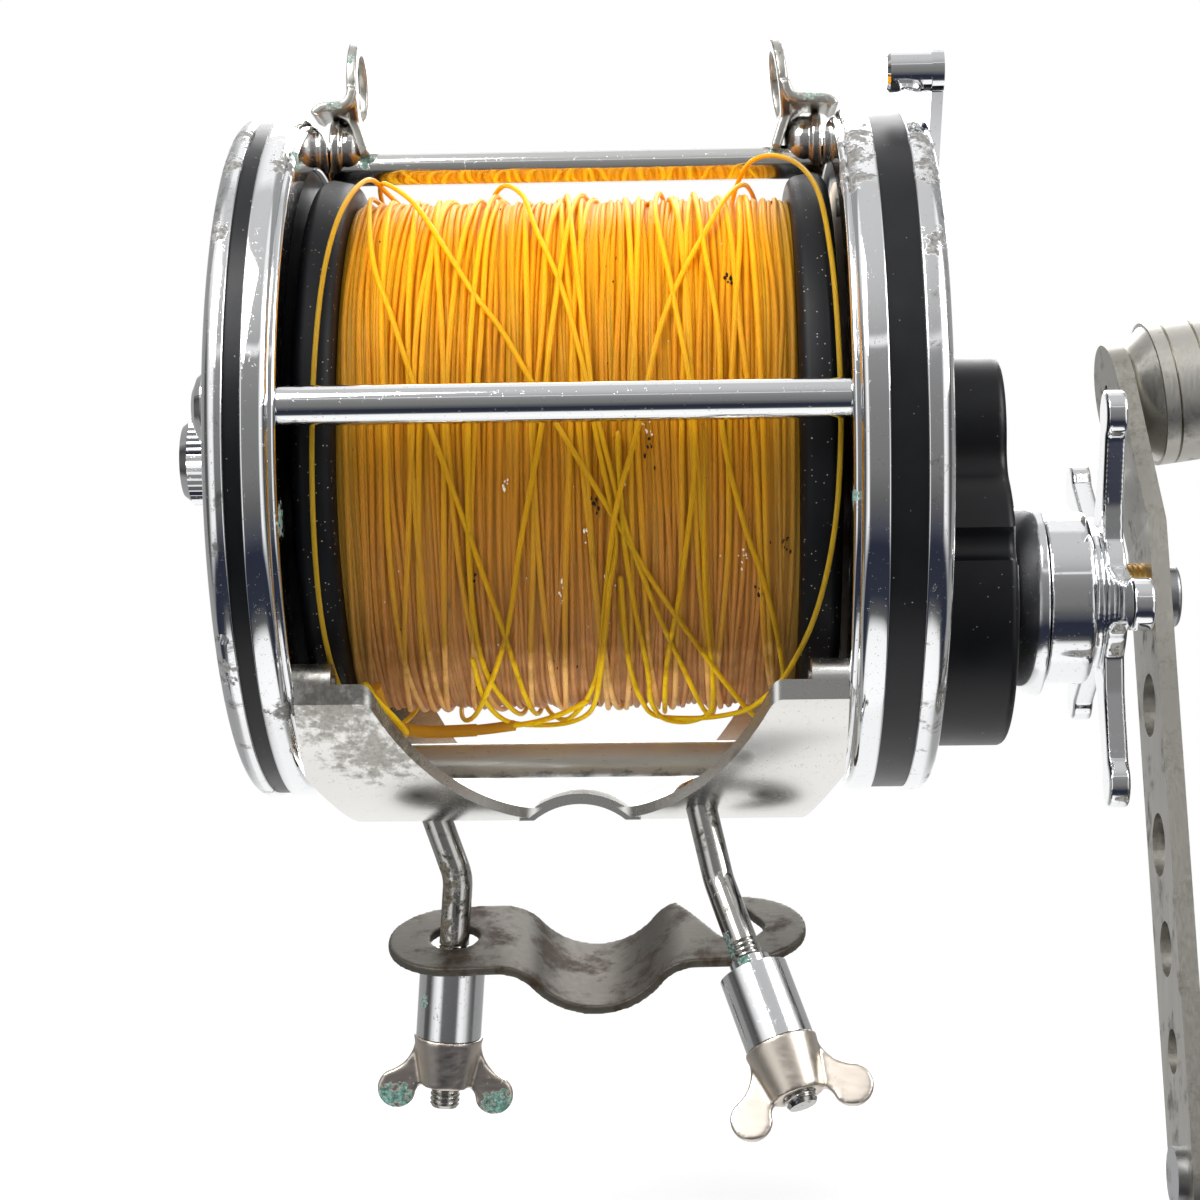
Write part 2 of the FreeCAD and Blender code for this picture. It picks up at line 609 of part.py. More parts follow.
def strap_line(u_r, shoulder_r, flat_z, centre_z, shoulder_x, touch, end_x):
    """One face line of the strap, as edges in the plane y = -width / 2."""
    y = -BRACKET_WIDTH / 2
    shoulder_z = -BRACKET_SHOULDER_R
    edges = []
    for s in (-1, 1):
        a = V(s * end_x, y, flat_z)
        b = V(s * shoulder_x, y, flat_z)
        c = V(s * touch[0], y, touch[1])
        lean = math.atan2(touch[1] - shoulder_z, touch[0] - shoulder_x)
        mid_angle = (math.pi / 2 + lean) / 2 if lean > 0 else (math.pi / 2 + lean + 2 * math.pi) / 2
        m = V(s * (shoulder_x + shoulder_r * math.cos(mid_angle)), y,
              shoulder_z + shoulder_r * math.sin(mid_angle))
        edges.append(Part.LineSegment(a, b).toShape())
        edges.append(Part.Arc(b, m, c).toShape())
    bottom = V(0, y, centre_z - u_r)
    edges.append(Part.Arc(V(-touch[0], y, touch[1]), bottom, V(touch[0], y, touch[1])).toShape())
    return edges


def rod_clamp():
    """Studs, sleeves, wing nuts and the bracket that hangs on the left stud."""
    nut_local = wing_nut()
    sleeve_local = clamp_sleeve()
    for side, top in (("left", SLEEVE_TOP_LEFT), ("right", SLEEVE_TOP_RIGHT)):
        _, bend, tail = stud_route(side)
        save("stud_" + side, [stud(side)])
        sleeve = sleeve_local.copy()
        place_along(sleeve, bend + tail * top, tail)
        save("clamp_sleeve_" + side, [sleeve])
        nut = nut_local.copy()
        place_along(nut, bend + tail * (top + SLEEVE_LENGTH + RUNNING), tail)
        save("wing_nut_" + side, [nut])
    bracket = clamp_bracket()
    half = BRACKET_PITCH / 2
    bracket.translate(V(half, 0, 0))
    bracket.rotate(V(0, 0, 0), X_AXIS, BRACKET_TILT)
    bracket.rotate(V(0, 0, 0), V(0, 1, 0), -BRACKET_ROLL)
    _, bend, tail = stud_route("left")
    bracket.translate(bend + tail * BRACKET_DROP)
    save("clamp_bracket", [bracket])


def harness_lug(side):
    """An eye plate on the top pillar with a strap over the rim of the ring."""
    s = -1 if side == "left" else 1
    x = LUG_X_LEFT if side == "left" else LUG_X_RIGHT
    y, z = PILLAR_POINTS["top"]
    x0, x1 = x - LUG_SHEET / 2, x + LUG_SHEET / 2
    eye_r = EYE_R + EYE_RIM
    eye = cyl_x(eye_r, x0, x1, y, EYE_Z)
    base_z = RING_R + 1.2
    neck = plate_x([(y - eye_r * 0.8, EYE_Z - 4), (y + eye_r * 0.8, EYE_Z - 4), (y + 5.6, z), (y - 5.6, z)], x0, x1)
    upper = fuse([eye, neck.common(block(x0, x1, y - 20, y + 20, base_z, EYE_Z)),
                  cyl_x(EYE_R, x0, x1, y, EYE_Z)])
    lean = 0 if side == "left" else LUG_LEAN_RIGHT
    upper = upper.cut(cyl_x(EYE_R, x0 - 5, x1 + 5, y, EYE_Z))
    upper.rotate(V(x, y, base_z), V(0, 1, 0), -lean)
    lower = fuse([neck.common(block(x0, x1, y - 20, y + 20, z, base_z + 0.3)), cyl_x(5.6, x0, x1, y, z)])
    ring_x = s * HALF_GAP
    a, b = sorted((ring_x, x))
    collar = cyl_x(LUG_COLLAR_R, a, b, y, z)
    tip = s * (abs(x) - LUG_SHEET / 2)
    a, b = sorted((tip, tip - s * 2.0))
    cone = cyl_x(4.9, a, b, y, z)
    far = s * (HALF_GAP + LUG_STRAP_REACH)
    a, b = sorted((x, far))
    strap_low = math.sqrt(RING_R ** 2 - 2.0 ** 2) + 0.3
    strap = block(a, b, y - 11.0, y - 11.0 + LUG_STRAP_WIDTH, strap_low, strap_low + 2.0)
    web = block(x0, x1, y - 11.0, y, strap_low, strap_low + 2.0)
    lug = fuse([upper, lower, collar, cone, strap, web])
    lug = lug.cut(cyl_x(PILLAR_R + FIXED_FIT, -HALF_GAP - 1, HALF_GAP + 1, y, z))
    save("harness_lug_" + side, [lug])


def left_plate():
    """The black left plate with its bearing boss, click slot and recess."""
    disc = fuse([cyl_x(PLUG_R, L_FACE, -PLUG_IN), cyl_x(PLATE_BAND_R, L_BAND[0], L_BAND[1])])
    disc = round_rims(disc, 1.0, [(L_FACE, PLUG_R)])
    recess = cyl_x(RECESS_R, L_WALL_IN, -PLUG_IN + 1)
    boss = cyl_x(BOSS_R, BOSS_END_X, L_WALL_IN + 1.5)
    tube = cyl_x(BOSS_TUBE_R, BOSS_TUBE_END_X, L_WALL_IN)
    plate = fuse([disc.cut(recess), boss, tube, button_track(BUTTON_BOSS_R, BOSS_END_X, L_WALL_IN)])
    bearing_out = L_WALL_IN + 1.5 - BEARING_LEFT_LENGTH
    plate = plate.cut(cyl_x(BEARING_R, bearing_out, L_WALL_IN + 2))
    plate = plate.cut(cyl_x(SHAFT_R + 0.25, BOSS_TUBE_END_X - 1, 0))
    slot = button_track(BUTTON_STEM_R + 0.25, BOSS_END_X - 1, L_WALL_IN + 1)
    plate = plate.cut(slot).fuse(spring_peg())
    save("side_plate_left", [drilled(plate, L_FACE, -PLUG_IN)])
    bearing = tube_x(BEARING_R - FIXED_FIT, SHAFT_R + RUNNING, bearing_out, L_WALL_IN + 1.5)
    save("bearing_left", [bearing])


def button_track(r, x0, x1):
    """A round-ended bar along X that spans the click button's travel towards the spool axis."""
    outer = math.hypot(*BUTTON_YZ)
    inner = outer - CLICK_TRAVEL
    track = fuse([cyl_x(r, x0, x1, outer, 0), cyl_x(r, x0, x1, inner, 0), block(x0, x1, inner, outer, -r, r)])
    return turned(track, BUTTON_ANGLE)


def spring_peg():
    """The peg inside the left plate that the click spring's bow rests on."""
    offset = math.hypot(*BUTTON_YZ) + CLICK_SPRING_REACH + CLICK_SPRING_HALF - CLICK_WIRE_R - PEG_R - 0.1
    return turned(cyl_x(PEG_R, L_WALL_IN - 0.5, L_WALL_IN + 4.6, offset, 0), BUTTON_ANGLE)


def bearing_cap():
    """The knurled cap over the left bearing."""
    x0, x1 = CAP_END_X, BOSS_END_X - FACE_GAP
    outline = []
    for i in range(2 * KNURLS):
        r = CAP_R if i % 2 == 0 else CAP_R - KNURL_DEPTH
        outline.append(polar(r, i * 180.0 / KNURLS))
    grip = plate_x(outline, x0 + 1.6, x1 - 1.6)
    collar = cyl_x(CAP_R - KNURL_DEPTH, x1 - 1.6, x1)
    face = Part.makeCone(CAP_R - 1.6, CAP_R - KNURL_DEPTH, 1.6, V(x0, 0, 0), X_AXIS)
    cap = fuse([grip, collar, face])
    cap = cap.cut(cyl_x(BOSS_TUBE_R + RUNNING, x0 + CAP_WALL, x1 + 1))
    slot = block(x0 - 1, x0 + 0.8, -0.8, 0.8, -6.0, 6.0)
    save("bearing_cap", [cap.cut(slot)])


def click():
    """The click button with its tongue, and the hairpin spring beside it."""
    angle = BUTTON_ANGLE
    radius = math.hypot(*BUTTON_YZ)
    skirt = BOSS_END_X - FACE_GAP
    head = lathe([(skirt, 0), (skirt, BUTTON_R - 0.8), (skirt - 0.8, BUTTON_R), (BUTTON_END_X + 2.4, BUTTON_R),
                  (BUTTON_END_X + 1.2, BUTTON_R - 1.0), (BUTTON_END_X + 0.3, BUTTON_R - 3.0), (BUTTON_END_X, 0)])
    head.translate(V(0, radius, 0))
    stem = cyl_x(BUTTON_STEM_R, skirt - 1, L_WALL_IN + 2.4, radius, 0)
    save("click_button", [turned(fuse([head, stem]), angle)])
    x0, x1 = L_WALL_IN + 2.4, L_WALL_IN + 4.6
    tip = CLICK_GEAR_R - CLICK_TOOTH + 0.8 + CLICK_TRAVEL
    outline = [(tip, -0.35), (tip, 0.35), (tip + 2.4, 1.0), (tip + 2.4, 2.4), (radius + 2.0, 3.4),
               (radius + 4.0, 0), (radius + 2.0, -3.4), (tip + 2.4, -2.4), (tip + 2.4, -1.0)]
    save("click_tongue", [turned(plate_x(outline, x0, x1), angle)])
    spring_x = (x0 + x1) / 2
    arm = CLICK_SPRING_HALF
    start, end = radius - 8.0, radius + CLICK_SPRING_REACH
    parts = [Part.makeCylinder(CLICK_WIRE_R, end - start, V(spring_x, start, s * arm), V(0, 1, 0)) for s in (-1, 1)]
    bow = Part.makeTorus(arm, CLICK_WIRE_R, V(spring_x, end, 0), X_AXIS)
    parts.append(bow.common(block(spring_x - 5, spring_x + 5, end, end + 20, -20, 20)))
    save("click_spring", [turned(fuse(parts), angle)])


def gear_outline(teeth, module, thin):
    """An involute tooth outline about the origin in y, z, with a tooth centred on +Y."""
    pitch_r = teeth * module / 2
    base_r = pitch_r * math.cos(math.radians(PRESSURE_ANGLE))
    tip_r = pitch_r + module
    root_r = pitch_r - 1.25 * module
    inv = math.tan(math.radians(PRESSURE_ANGLE)) - math.radians(PRESSURE_ANGLE)
    half_pitch = math.pi / (2 * teeth) - thin / (2 * pitch_r)
    flank = []
    start_r = max(base_r, root_r + 0.05)
    for k in range(5):
        r = start_r + (tip_r - start_r) * k / 4
        alpha = math.acos(base_r / r)
        flank.append((r, half_pitch + inv - (math.tan(alpha) - alpha)))
    outline = []
    for i in range(teeth):
        centre = 2 * math.pi * i / teeth
        foot_half = flank[0][1]
        outline.append(polar(root_r, math.degrees(centre - foot_half)))
        for r, half in flank:
            outline.append(polar(r, math.degrees(centre - half)))
        for r, half in reversed(flank):
            outline.append(polar(r, math.degrees(centre + half)))
        outline.append(polar(root_r, math.degrees(centre + foot_half)))
    return outline


def saw_outline(teeth, tip_r, depth):
    """A ratchet outline about the origin in y, z."""
    outline = []
    for i in range(teeth):
        angle = 360.0 * i / teeth
        outline.append(polar(tip_r - depth, angle + 0.01))
        outline.append(polar(tip_r, angle + 360.0 / teeth - 2.0))
        outline.append(polar(tip_r, angle + 360.0 / teeth))
    return outline


def click_gear():
    """The click gear on the spool shaft, with a gap in line with the tongue."""
    outline = []
    step = 360.0 / CLICK_TEETH
    for i in range(CLICK_TEETH):
        a = i * step
        outline.append(polar(CLICK_GEAR_R - CLICK_TOOTH, a - 0.14 * step))
        outline.append(polar(CLICK_GEAR_R - CLICK_TOOTH, a + 0.14 * step))
        outline.append(polar(CLICK_GEAR_R, a + 0.38 * step))
        outline.append(polar(CLICK_GEAR_R, a + 0.62 * step))
    x0, x1 = L_WALL_IN + 2.2, L_WALL_IN + 4.8
    gear = plate_x(outline, x0, x1)
    hub = cyl_x(8.0, x1, -FLANGE_OUT)
    gear = fuse([gear, hub]).cut(cyl_x(SHAFT_R + FIXED_FIT, x0 - 1, -FLANGE_OUT + 1))
    save("click_gear", [turned(gear, BUTTON_ANGLE)])


def spool():
    """Arbor, two flanges, shaft and the wound line."""
    save("spool_arbor", [tube_x(ARBOR_R, SHAFT_R + FIXED_FIT, -FLANGE_IN, FLANGE_IN)])
    for side, s in (("left", -1), ("right", 1)):
        a, b = sorted((s * FLANGE_IN, s * FLANGE_OUT))
        flange = tube_x(FLANGE_R, SHAFT_R + FIXED_FIT, a, b)
        flange = round_rims(flange, FLANGE_ROUND, [(a, FLANGE_R), (b, FLANGE_R)])
        groove = tube_x(FLANGE_R - 8.0, ARBOR_R + 6.0, *sorted((s * (FLANGE_OUT - 2.0), s * (FLANGE_OUT + 1))))
        save("spool_flange_" + side, [flange.cut(groove)])
    bearing_end = PLUG_IN - 0.8 + BEARING_LEFT_LENGTH
    shaft = cyl_x(SHAFT_R, -72.4, bearing_end + 0.2)
    tang_x = bearing_end + 0.2
    tang = block(tang_x - 0.5, tang_x + TANG[2], -TANG[1] / 2, TANG[1] / 2, -TANG[0] / 2, TANG[0] / 2)
    spindle = cyl_x(SPINDLE_R, tang_x, HOUSING_IN + 1.8)
    save("spool_shaft", [fuse([shaft, tang, spindle])])
    line_r = LINE_R - LINE_D / 2 - RUNNING
    save("line_core", [tube_x(line_r, ARBOR_R + FIXED_FIT, -FLANGE_IN, FLANGE_IN)])
    save("line_turns", [line_winding()])


def helix_point(turn, pitch, first_x):
    """Point and tangent of the winding after so many turns."""
    angle = 2 * math.pi * turn
    point = V(first_x + pitch * turn, LINE_R * math.cos(angle), LINE_R * math.sin(angle))
    tangent = V(pitch / (2 * math.pi * LINE_R), -math.sin(angle), math.cos(angle))
    tangent.normalize()
    return point, tangent


def biarc(p0, t0, p1, t1):
    """Two arcs that join p0 and p1 with the tangents t0 and t1."""
    v = p1 - p0
    t = t0 + t1
    k = 2 * (1 - t0.dot(t1))
    b = v.dot(t)
    d = (-b + math.sqrt(b * b + k * v.dot(v))) / k
    joint = (p0 + t0 * d + p1 - t1 * d) * 0.5
    first = Part.Arc(p0, arc_middle(p0, t0, joint), joint).toShape()
    second = Part.Arc(joint, arc_middle(p1, t1 * -1, joint), p1).toShape()
    return [first, second]


def line_winding():
    """The outer layer of line: one tube from flange to flange, on biarcs of half a turn."""
    margin = LINE_D + LINE_END_BEND
    first_x = -FLANGE_IN + margin
    pitch = 2 * (FLANGE_IN - margin) / LINE_LOOPS
    half_turns = 2 * LINE_LOOPS
    points = [helix_point(i / 2.0, pitch, first_x) for i in range(half_turns + 1)]
    edges = []
    start, start_tangent = points[0]
    lead = start - X_AXIS * LINE_END_BEND - start_tangent * LINE_END_BEND
    edges.append(Part.LineSegment(V(-FLANGE_IN, lead.y, lead.z), lead).toShape())
    edges += biarc(lead, X_AXIS, start, start_tangent)
    for (p0, t0), (p1, t1) in zip(points, points[1:]):
        edges += biarc(p0, t0, p1, t1)
    end, end_tangent = points[-1]
    tail = end + X_AXIS * LINE_END_BEND + end_tangent * LINE_END_BEND
    edges += biarc(end, end_tangent, tail, X_AXIS)
    edges.append(Part.LineSegment(tail, V(FLANGE_IN, tail.y, tail.z)).toShape())
    path = Part.Wire(edges)
    section = Part.Wire([Part.Circle(V(-FLANGE_IN, lead.y, lead.z), X_AXIS, LINE_D / 2).toShape()])
    tube = path.makePipeShell([section], True, False)
    print("line winding: least gap to itself %.2f mm, length %.0f mm, volume ratio %.4f" % (
        least_gap(path, pitch), path.Length, tube.Volume / (path.Length * math.pi * LINE_D ** 2 / 4)))
    return tube


def least_gap(path, pitch):
    """The smallest free distance between stretches of the tube, measured on points."""
    points = path.discretize(Distance=2.0)
    near = 2.5 * pitch
    least = 1e9
    for i, p in enumerate(points):
        for q in points[i + int(0.25 * 2 * math.pi * LINE_R / 2.0):]:
            if abs(p.x - q.x) < near:
                least = min(least, p.distanceToPoint(q))
    return least - LINE_D


def two_lobes(r_a, r_b, f, x0, x1):
    """A small lobe over a large one on the crank axis, blended at radius f and extruded along X."""
    z_a = LOBE_UPPER[1]
    d = CRANK_DROP + z_a
    drop = ((r_b + f) ** 2 - (r_a + f) ** 2 - d ** 2) / (2 * d)
    y_c = math.sqrt((r_a + f) ** 2 - drop ** 2)
    z_c = z_a + drop
    share_a = r_a / (r_a + f)
    share_b = r_b / (r_b + f)
    a = (y_c * share_a, z_a + drop * share_a)
    b = (y_c * share_b, -CRANK_DROP + (z_c + CRANK_DROP) * share_b)
    toward = math.atan2((a[1] + b[1]) / 2 - z_c, (a[0] + b[0]) / 2 - y_c)
    m = (y_c + f * math.cos(toward), z_c + f * math.sin(toward))
    edges = []
    for s in (-1, 1):
        edges.append(Part.Arc(V(x0, s * a[0], a[1]), V(x0, s * m[0], m[1]), V(x0, s * b[0], b[1])).toShape())
    edges.append(Part.Arc(V(x0, -a[0], a[1]), V(x0, 0, z_a + r_a), V(x0, a[0], a[1])).toShape())
    edges.append(Part.Arc(V(x0, -b[0], b[1]), V(x0, 0, -CRANK_DROP - r_b), V(x0, b[0], b[1])).toShape())
    face = Part.Face(Part.Wire(Part.__sortEdges__(edges)))
    return face.extrude(V(x1 - x0, 0, 0))


def right_plate():
    """The black right plate with its gear housing, lever boss and recess."""
    disc = fuse([cyl_x(PLUG_R, PLUG_IN, R_FACE), cyl_x(PLATE_BAND_R, R_BAND[0], R_BAND[1])])
    housing = two_lobes(LOBE_UPPER[0], LOBE_MAIN_R, LOBE_BLEND_R, R_FACE - 1, HOUSING_END_X)
    for side in (0, 180):
        angle = side + NOTCH_ANGLE * (1 if side == 0 else -1)
        y, z = polar(LOBE_MAIN_R + 1.2, angle, 0, -CRANK_DROP)
        housing = housing.cut(cyl_x(NOTCH_R, R_FACE, HOUSING_END_X + 1, y, z))
    rim = [e for e in housing.Edges if abs(e.BoundBox.XMin - HOUSING_END_X) < 0.01]
    housing = housing.makeFillet(HOUSING_ROUND, rim)
    housing = housing.cut(tube_x(RING_R + 1, PLUG_R, R_FACE - 2, R_OUTER[1]))
    boss = cyl_x(6.0, R_FACE - 1, LEVER_X - FACE_GAP, *PIVOT)
    plate = fuse([disc, housing, boss])
    plate = plate.cut(cyl_x(BRIDGE_R + 0.1, PLUG_IN - 1, BRIDGE_X[1]))
    plate = plate.cut(cyl_x(CAVITY_R, BRIDGE_X[1] - 0.5, R_WALL_IN))
    plate = plate.cut(cyl_x(RATCHET_R + 1.5, BRIDGE_X[1] - 0.5, R_WALL_IN, 0, -CRANK_DROP))
    plate = plate.cut(two_lobes(*CAVITY_LOBES, LOBE_BLEND_R, R_WALL_IN - 1, HOUSING_IN))
    end_boss = cyl_x(5.5, HOUSING_IN - 0.4, HOUSING_IN + 0.5)
    plate = plate.fuse(end_boss)
    plate = plate.cut(cyl_x(SPINDLE_R + RUNNING, HOUSING_IN - 2, HOUSING_IN + 2.0))
    plate = plate.cut(cyl_x(9.4 + FACE_GAP, HOUSING_IN - 1, HOUSING_END_X + 1, 0, -CRANK_DROP))
    plate = plate.cut(cyl_x(3.0 + RUNNING, R_WALL_IN - 1, LEVER_X, *PIVOT))
    for s in (-1, 1):
        plate = plate.cut(cyl_x(3.0, R_WALL_IN - 1, R_WALL_IN + 1.7, s * YOKE_POST_Y, 0))
    for y, z in BRIDGE_SCREWS:
        plate = plate.cut(cyl_x(SCREW_R + FIXED_FIT, BRIDGE_X[1] - 1, BRIDGE_X[1] + 5.5, y, z))
    save("side_plate_right", [drilled(plate, PLUG_IN, R_FACE)])


BRIDGE_SCREWS = [polar(BRIDGE_SCREW_CIRCLE_R, a) for a in (30.0, 120.0, 210.0, 300.0)]


def bridge():
    """The bridge plate with its bearing boss, crank post, yoke posts and dog post."""
    z = -CRANK_DROP
    bearing_in = PLUG_IN - 0.8
    bearing_out = bearing_in + BEARING_LEFT_LENGTH
    plate = fuse([cyl_x(BRIDGE_R, *BRIDGE_X), cyl_x(9.0, bearing_in, bearing_out),
                  cyl_x(POST_R, BRIDGE_X[0] + 1, 71.5, 0, z)]
                 + [cyl_x(YOKE_POST_R, BRIDGE_X[0] + 1, R_WALL_IN + 1.2, s * YOKE_POST_Y, 0) for s in (-1, 1)]
                 + [cyl_x(1.8, BRIDGE_X[0] + 1, RATCHET_X[1] + 0.9, *DOG_PIVOT)])
    plate = plate.cut(cyl_x(BEARING_R, bearing_in - 1, bearing_out + 1))
    for y, zz in BRIDGE_SCREWS:
        plate = plate.cut(cyl_x(SCREW_R + FIXED_FIT, 40, 60, y, zz))
    save("bridge_plate", [plate])
    save("bearing_right", [tube_x(BEARING_R - FIXED_FIT, SHAFT_R + RUNNING, bearing_in, bearing_out)])
    screws = []
    for y, zz in BRIDGE_SCREWS:
        head = cyl_x(1.7, PLUG_IN - 0.9, PLUG_IN, y, zz)
        screws.append(fuse([head, cyl_x(SCREW_R, PLUG_IN - 0.5, BRIDGE_X[1] + 5.0, y, zz)]))
    save("bridge_screws", screws)


def pinion():
    """The sliding pinion, with a slot for the shaft's tang and a groove for the yoke."""
    bearing_out = PLUG_IN - 0.8 + BEARING_LEFT_LENGTH
    x0 = bearing_out + 0.4
    groove = (YOKE_X[0] - 0.2, YOKE_X[1] + 0.2)
    body = fuse([cyl_x(6.0, x0, groove[0]), cyl_x(4.6, groove[0] - 0.5, groove[1] + 0.5),
                 cyl_x(6.4, groove[1], PINION_X[0] + 0.5),
                 plate_x(gear_outline(PINION_TEETH, GEAR_MODULE, BACKLASH), *PINION_X)])
    body = body.cut(cyl_x(SPINDLE_R + RUNNING, x0 - 1, PINION_X[1] + 1))
    slot = block(x0 - 1, x0 + TANG[2] + 0.1, -TANG[1] / 2 - 0.15, TANG[1] / 2 + 0.15,
                 -TANG[0] / 2 - 0.15, TANG[0] / 2 + 0.15)
    save("pinion", [body.cut(slot)])


def yoke():
    """The yoke that lifts the pinion, with its cam followers, and its two springs."""
    py, pz = PIVOT
    x0, x1 = YOKE_X
    plate = fuse([block(x0, x1, -YOKE_POST_Y - 4, YOKE_POST_Y + 4, -4.0, 9.0),
                  block(x0, x1, py - 5, py + 5, 5, pz), cyl_x(8.0, x0, x1, py, pz)])
    plate = plate.cut(fuse([cyl_x(4.8, x0 - 1, x1 + 1), block(x0 - 1, x1 + 1, -4.8, 4.8, -10, 0)]))
    for s in (-1, 1):
        plate = plate.cut(cyl_x(YOKE_POST_R + RUNNING, x0 - 1, x1 + 1, s * YOKE_POST_Y, 0))
    plate = plate.cut(cyl_x(3.3, x0 - 1, x1 + 1, py, pz))
    low = cam_height(0.0) + 0.5
    tabs = [block(low, x0 + 0.5, py + s * CAM_FOLLOWER_R - 0.6, py + s * CAM_FOLLOWER_R + 0.6, pz - 0.9, pz + 0.9)
            for s in (-1, 1)]
    save("yoke", [fuse([plate] + tabs)])
    springs = [tube_x(2.6, 1.9, x1, R_WALL_IN + 1.7, s * YOKE_POST_Y, 0) for s in (-1, 1)]
    save("yoke_springs", springs)


CAM_BASE_X = (PLUG_IN + BRIDGE_SHEET + 0.3, PLUG_IN + BRIDGE_SHEET + 1.3)


def cam_height(degrees):
    """The ramp's face at the follower's radius, after the lever has turned so far."""
    middle = CAM_BASE_X[1] + 0.2 + YOKE_TRAVEL / 2
    amplitude = YOKE_TRAVEL / 2 / math.sin(math.radians(LEVER_THROW / 2))
    return middle + amplitude * math.sin(math.radians(degrees - LEVER_THROW / 2))


def free_spool_lever():
    """The lever with its shaft, its knob turned in over the rim, and the cam on the shaft."""
    py, pz = PIVOT
    direction = LEVER_PIVOT_ANGLE + LEVER_REST
    arm = fuse([block(LEVER_X, LEVER_X + LEVER_SHEET, 0, LEVER_LENGTH, -3.2, 3.2),
                cyl_x(6.0, LEVER_X, LEVER_X + LEVER_SHEET),
                cyl_x(4.2, LEVER_X, LEVER_X + LEVER_SHEET, LEVER_LENGTH, 0)])
    shaft = cyl_x(3.0, CAM_BASE_X[0] - 0.2, LEVER_X + LEVER_SHEET + 0.8)
    lever = fuse([arm, shaft])
    knob = cyl_x(KNOB_R, KNOB_IN_X, LEVER_X, LEVER_LENGTH, 0)
    knob = knob.makeChamfer(0.6, [e for e in knob.Edges if abs(e.BoundBox.XMax - KNOB_IN_X) < 0.01])
    for name, shape in (("free_spool_lever", lever), ("free_spool_knob", knob)):
        shape = turned(shape, direction)
        shape.translate(V(0, py, pz))
        save(name, [shape])
    amplitude = YOKE_TRAVEL / 2 / math.sin(math.radians(LEVER_THROW / 2))
    base = cyl_x(CAM_R, *CAM_BASE_X)
    ramps = []
    for s in (0, 180):
        ramp = tube_x(CAM_R, 4.6, CAM_BASE_X[1] - 0.3, CAM_BASE_X[1] + 6)
        # The ramp's face is a tilted plane, which climbs under the followers as the lever turns.
        middle = CAM_BASE_X[1] + 0.2 + YOKE_TRAVEL / 2
        slope = amplitude / CAM_FOLLOWER_R
        tool = [V(middle - slope * 20, -20, -20), V(middle + slope * 20, -20, 20),
                V(middle + 40, -20, 20), V(middle + 40, -20, -20)]
        above = Part.Face(Part.makePolygon(tool + tool[:1])).extrude(V(0, 40, 0))
        ramp = ramp.cut(above)
        reach = LEVER_THROW / 2 + 6
        sector = plate_x([(0, 0), polar(20, -reach), polar(28, 0), polar(20, reach)],
                         CAM_BASE_X[0], CAM_BASE_X[1] + 10)
        ramp = ramp.common(sector)
        ramps.append(turned(ramp, s + LEVER_THROW / 2))
    cam = fuse([base] + ramps).cut(cyl_x(3.0 + FIXED_FIT, 40, 80))
    cam.translate(V(0, py, pz))
    save("free_spool_cam", [cam])


def drive():
    """The gear sleeve, main gear, drag stack, ratchet and collar about the crank axis."""
    z = -CRANK_DROP
    flange = (67.4, 68.9)
    stub = (ARM_X[1], NUT_END_X - 0.4)
    sleeve = fuse([cyl_x(SLEEVE_SHAFT_R, BRIDGE_X[1] + 2.4, ARM_X[0], 0, z), cyl_x(14.0, *flange, 0, z),
                   cyl_x(SLEEVE_SHAFT_R, ARM_X[0] - 1, ARM_X[1], 0, z).common(
                       block(ARM_X[0] - 1, ARM_X[1], -20, 20, z - 4.4, z + 4.4)),
                   cyl_x(3.6, ARM_X[1] - 1, stub[1], 0, z)])
    sleeve = sleeve.cut(cyl_x(POST_R + RUNNING, BRIDGE_X[1], 72.0, 0, z))
    grooves = [tube_x(SLEEVE_SHAFT_R + 1, SLEEVE_SHAFT_R - 0.35, STAR_X[1] + 0.2 + i, STAR_X[1] + 0.7 + i, 0, z)
               for i in range(5)]
    save("gear_sleeve", [sleeve.cut(Part.makeCompound(grooves))])
    bore = SLEEVE_SHAFT_R + FIXED_FIT
    save("under_washer", [tube_x(13.6, bore, flange[1], MAIN_GEAR_X[0], 0, z)])
    gear = plate_x(gear_outline(MAIN_TEETH, GEAR_MODULE, BACKLASH), *MAIN_GEAR_X)
    gear = gear.cut(cyl_x(17.5, MAIN_GEAR_X[0] + 1.2, MAIN_GEAR_X[1] + 1)).cut(cyl_x(bore, 60, 80))
    gear.translate(V(0, 0, z))
    save("main_gear", [gear])
    x = MAIN_GEAR_X[0] + 1.2
    fibre = []
    metal = []
    for i in range(2):
        fibre.append(tube_x(17.0, bore, x, x + 1.0, 0, z))
        metal.append(tube_x(16.6, bore, x + 1.0, x + 2.0, 0, z))
        x += 2.0
    save("drag_washers_fibre", fibre)
    save("drag_washers_metal", metal)
    ratchet = plate_x(saw_outline(RATCHET_TEETH, RATCHET_R, RATCHET_DEPTH), *RATCHET_X).cut(cyl_x(bore, 50, 60))
    ratchet = turned(ratchet, RATCHET_PHASE)
    ratchet.translate(V(0, 0, z))
    save("ratchet", [ratchet])
    c0, c1 = COLLAR_X
    collar = lathe([(x, bore), (x, 9.4), (c0, 9.4), (c0, COLLAR_R), (c0 + 3.2, COLLAR_R), (c1 - 1.3, COLLAR_RIM_R - 0.6),
                    (c1 - 0.5, COLLAR_RIM_R), (c1, COLLAR_RIM_R - 0.3), (c1, bore)], 0, z)
    save("drag_collar", [collar])


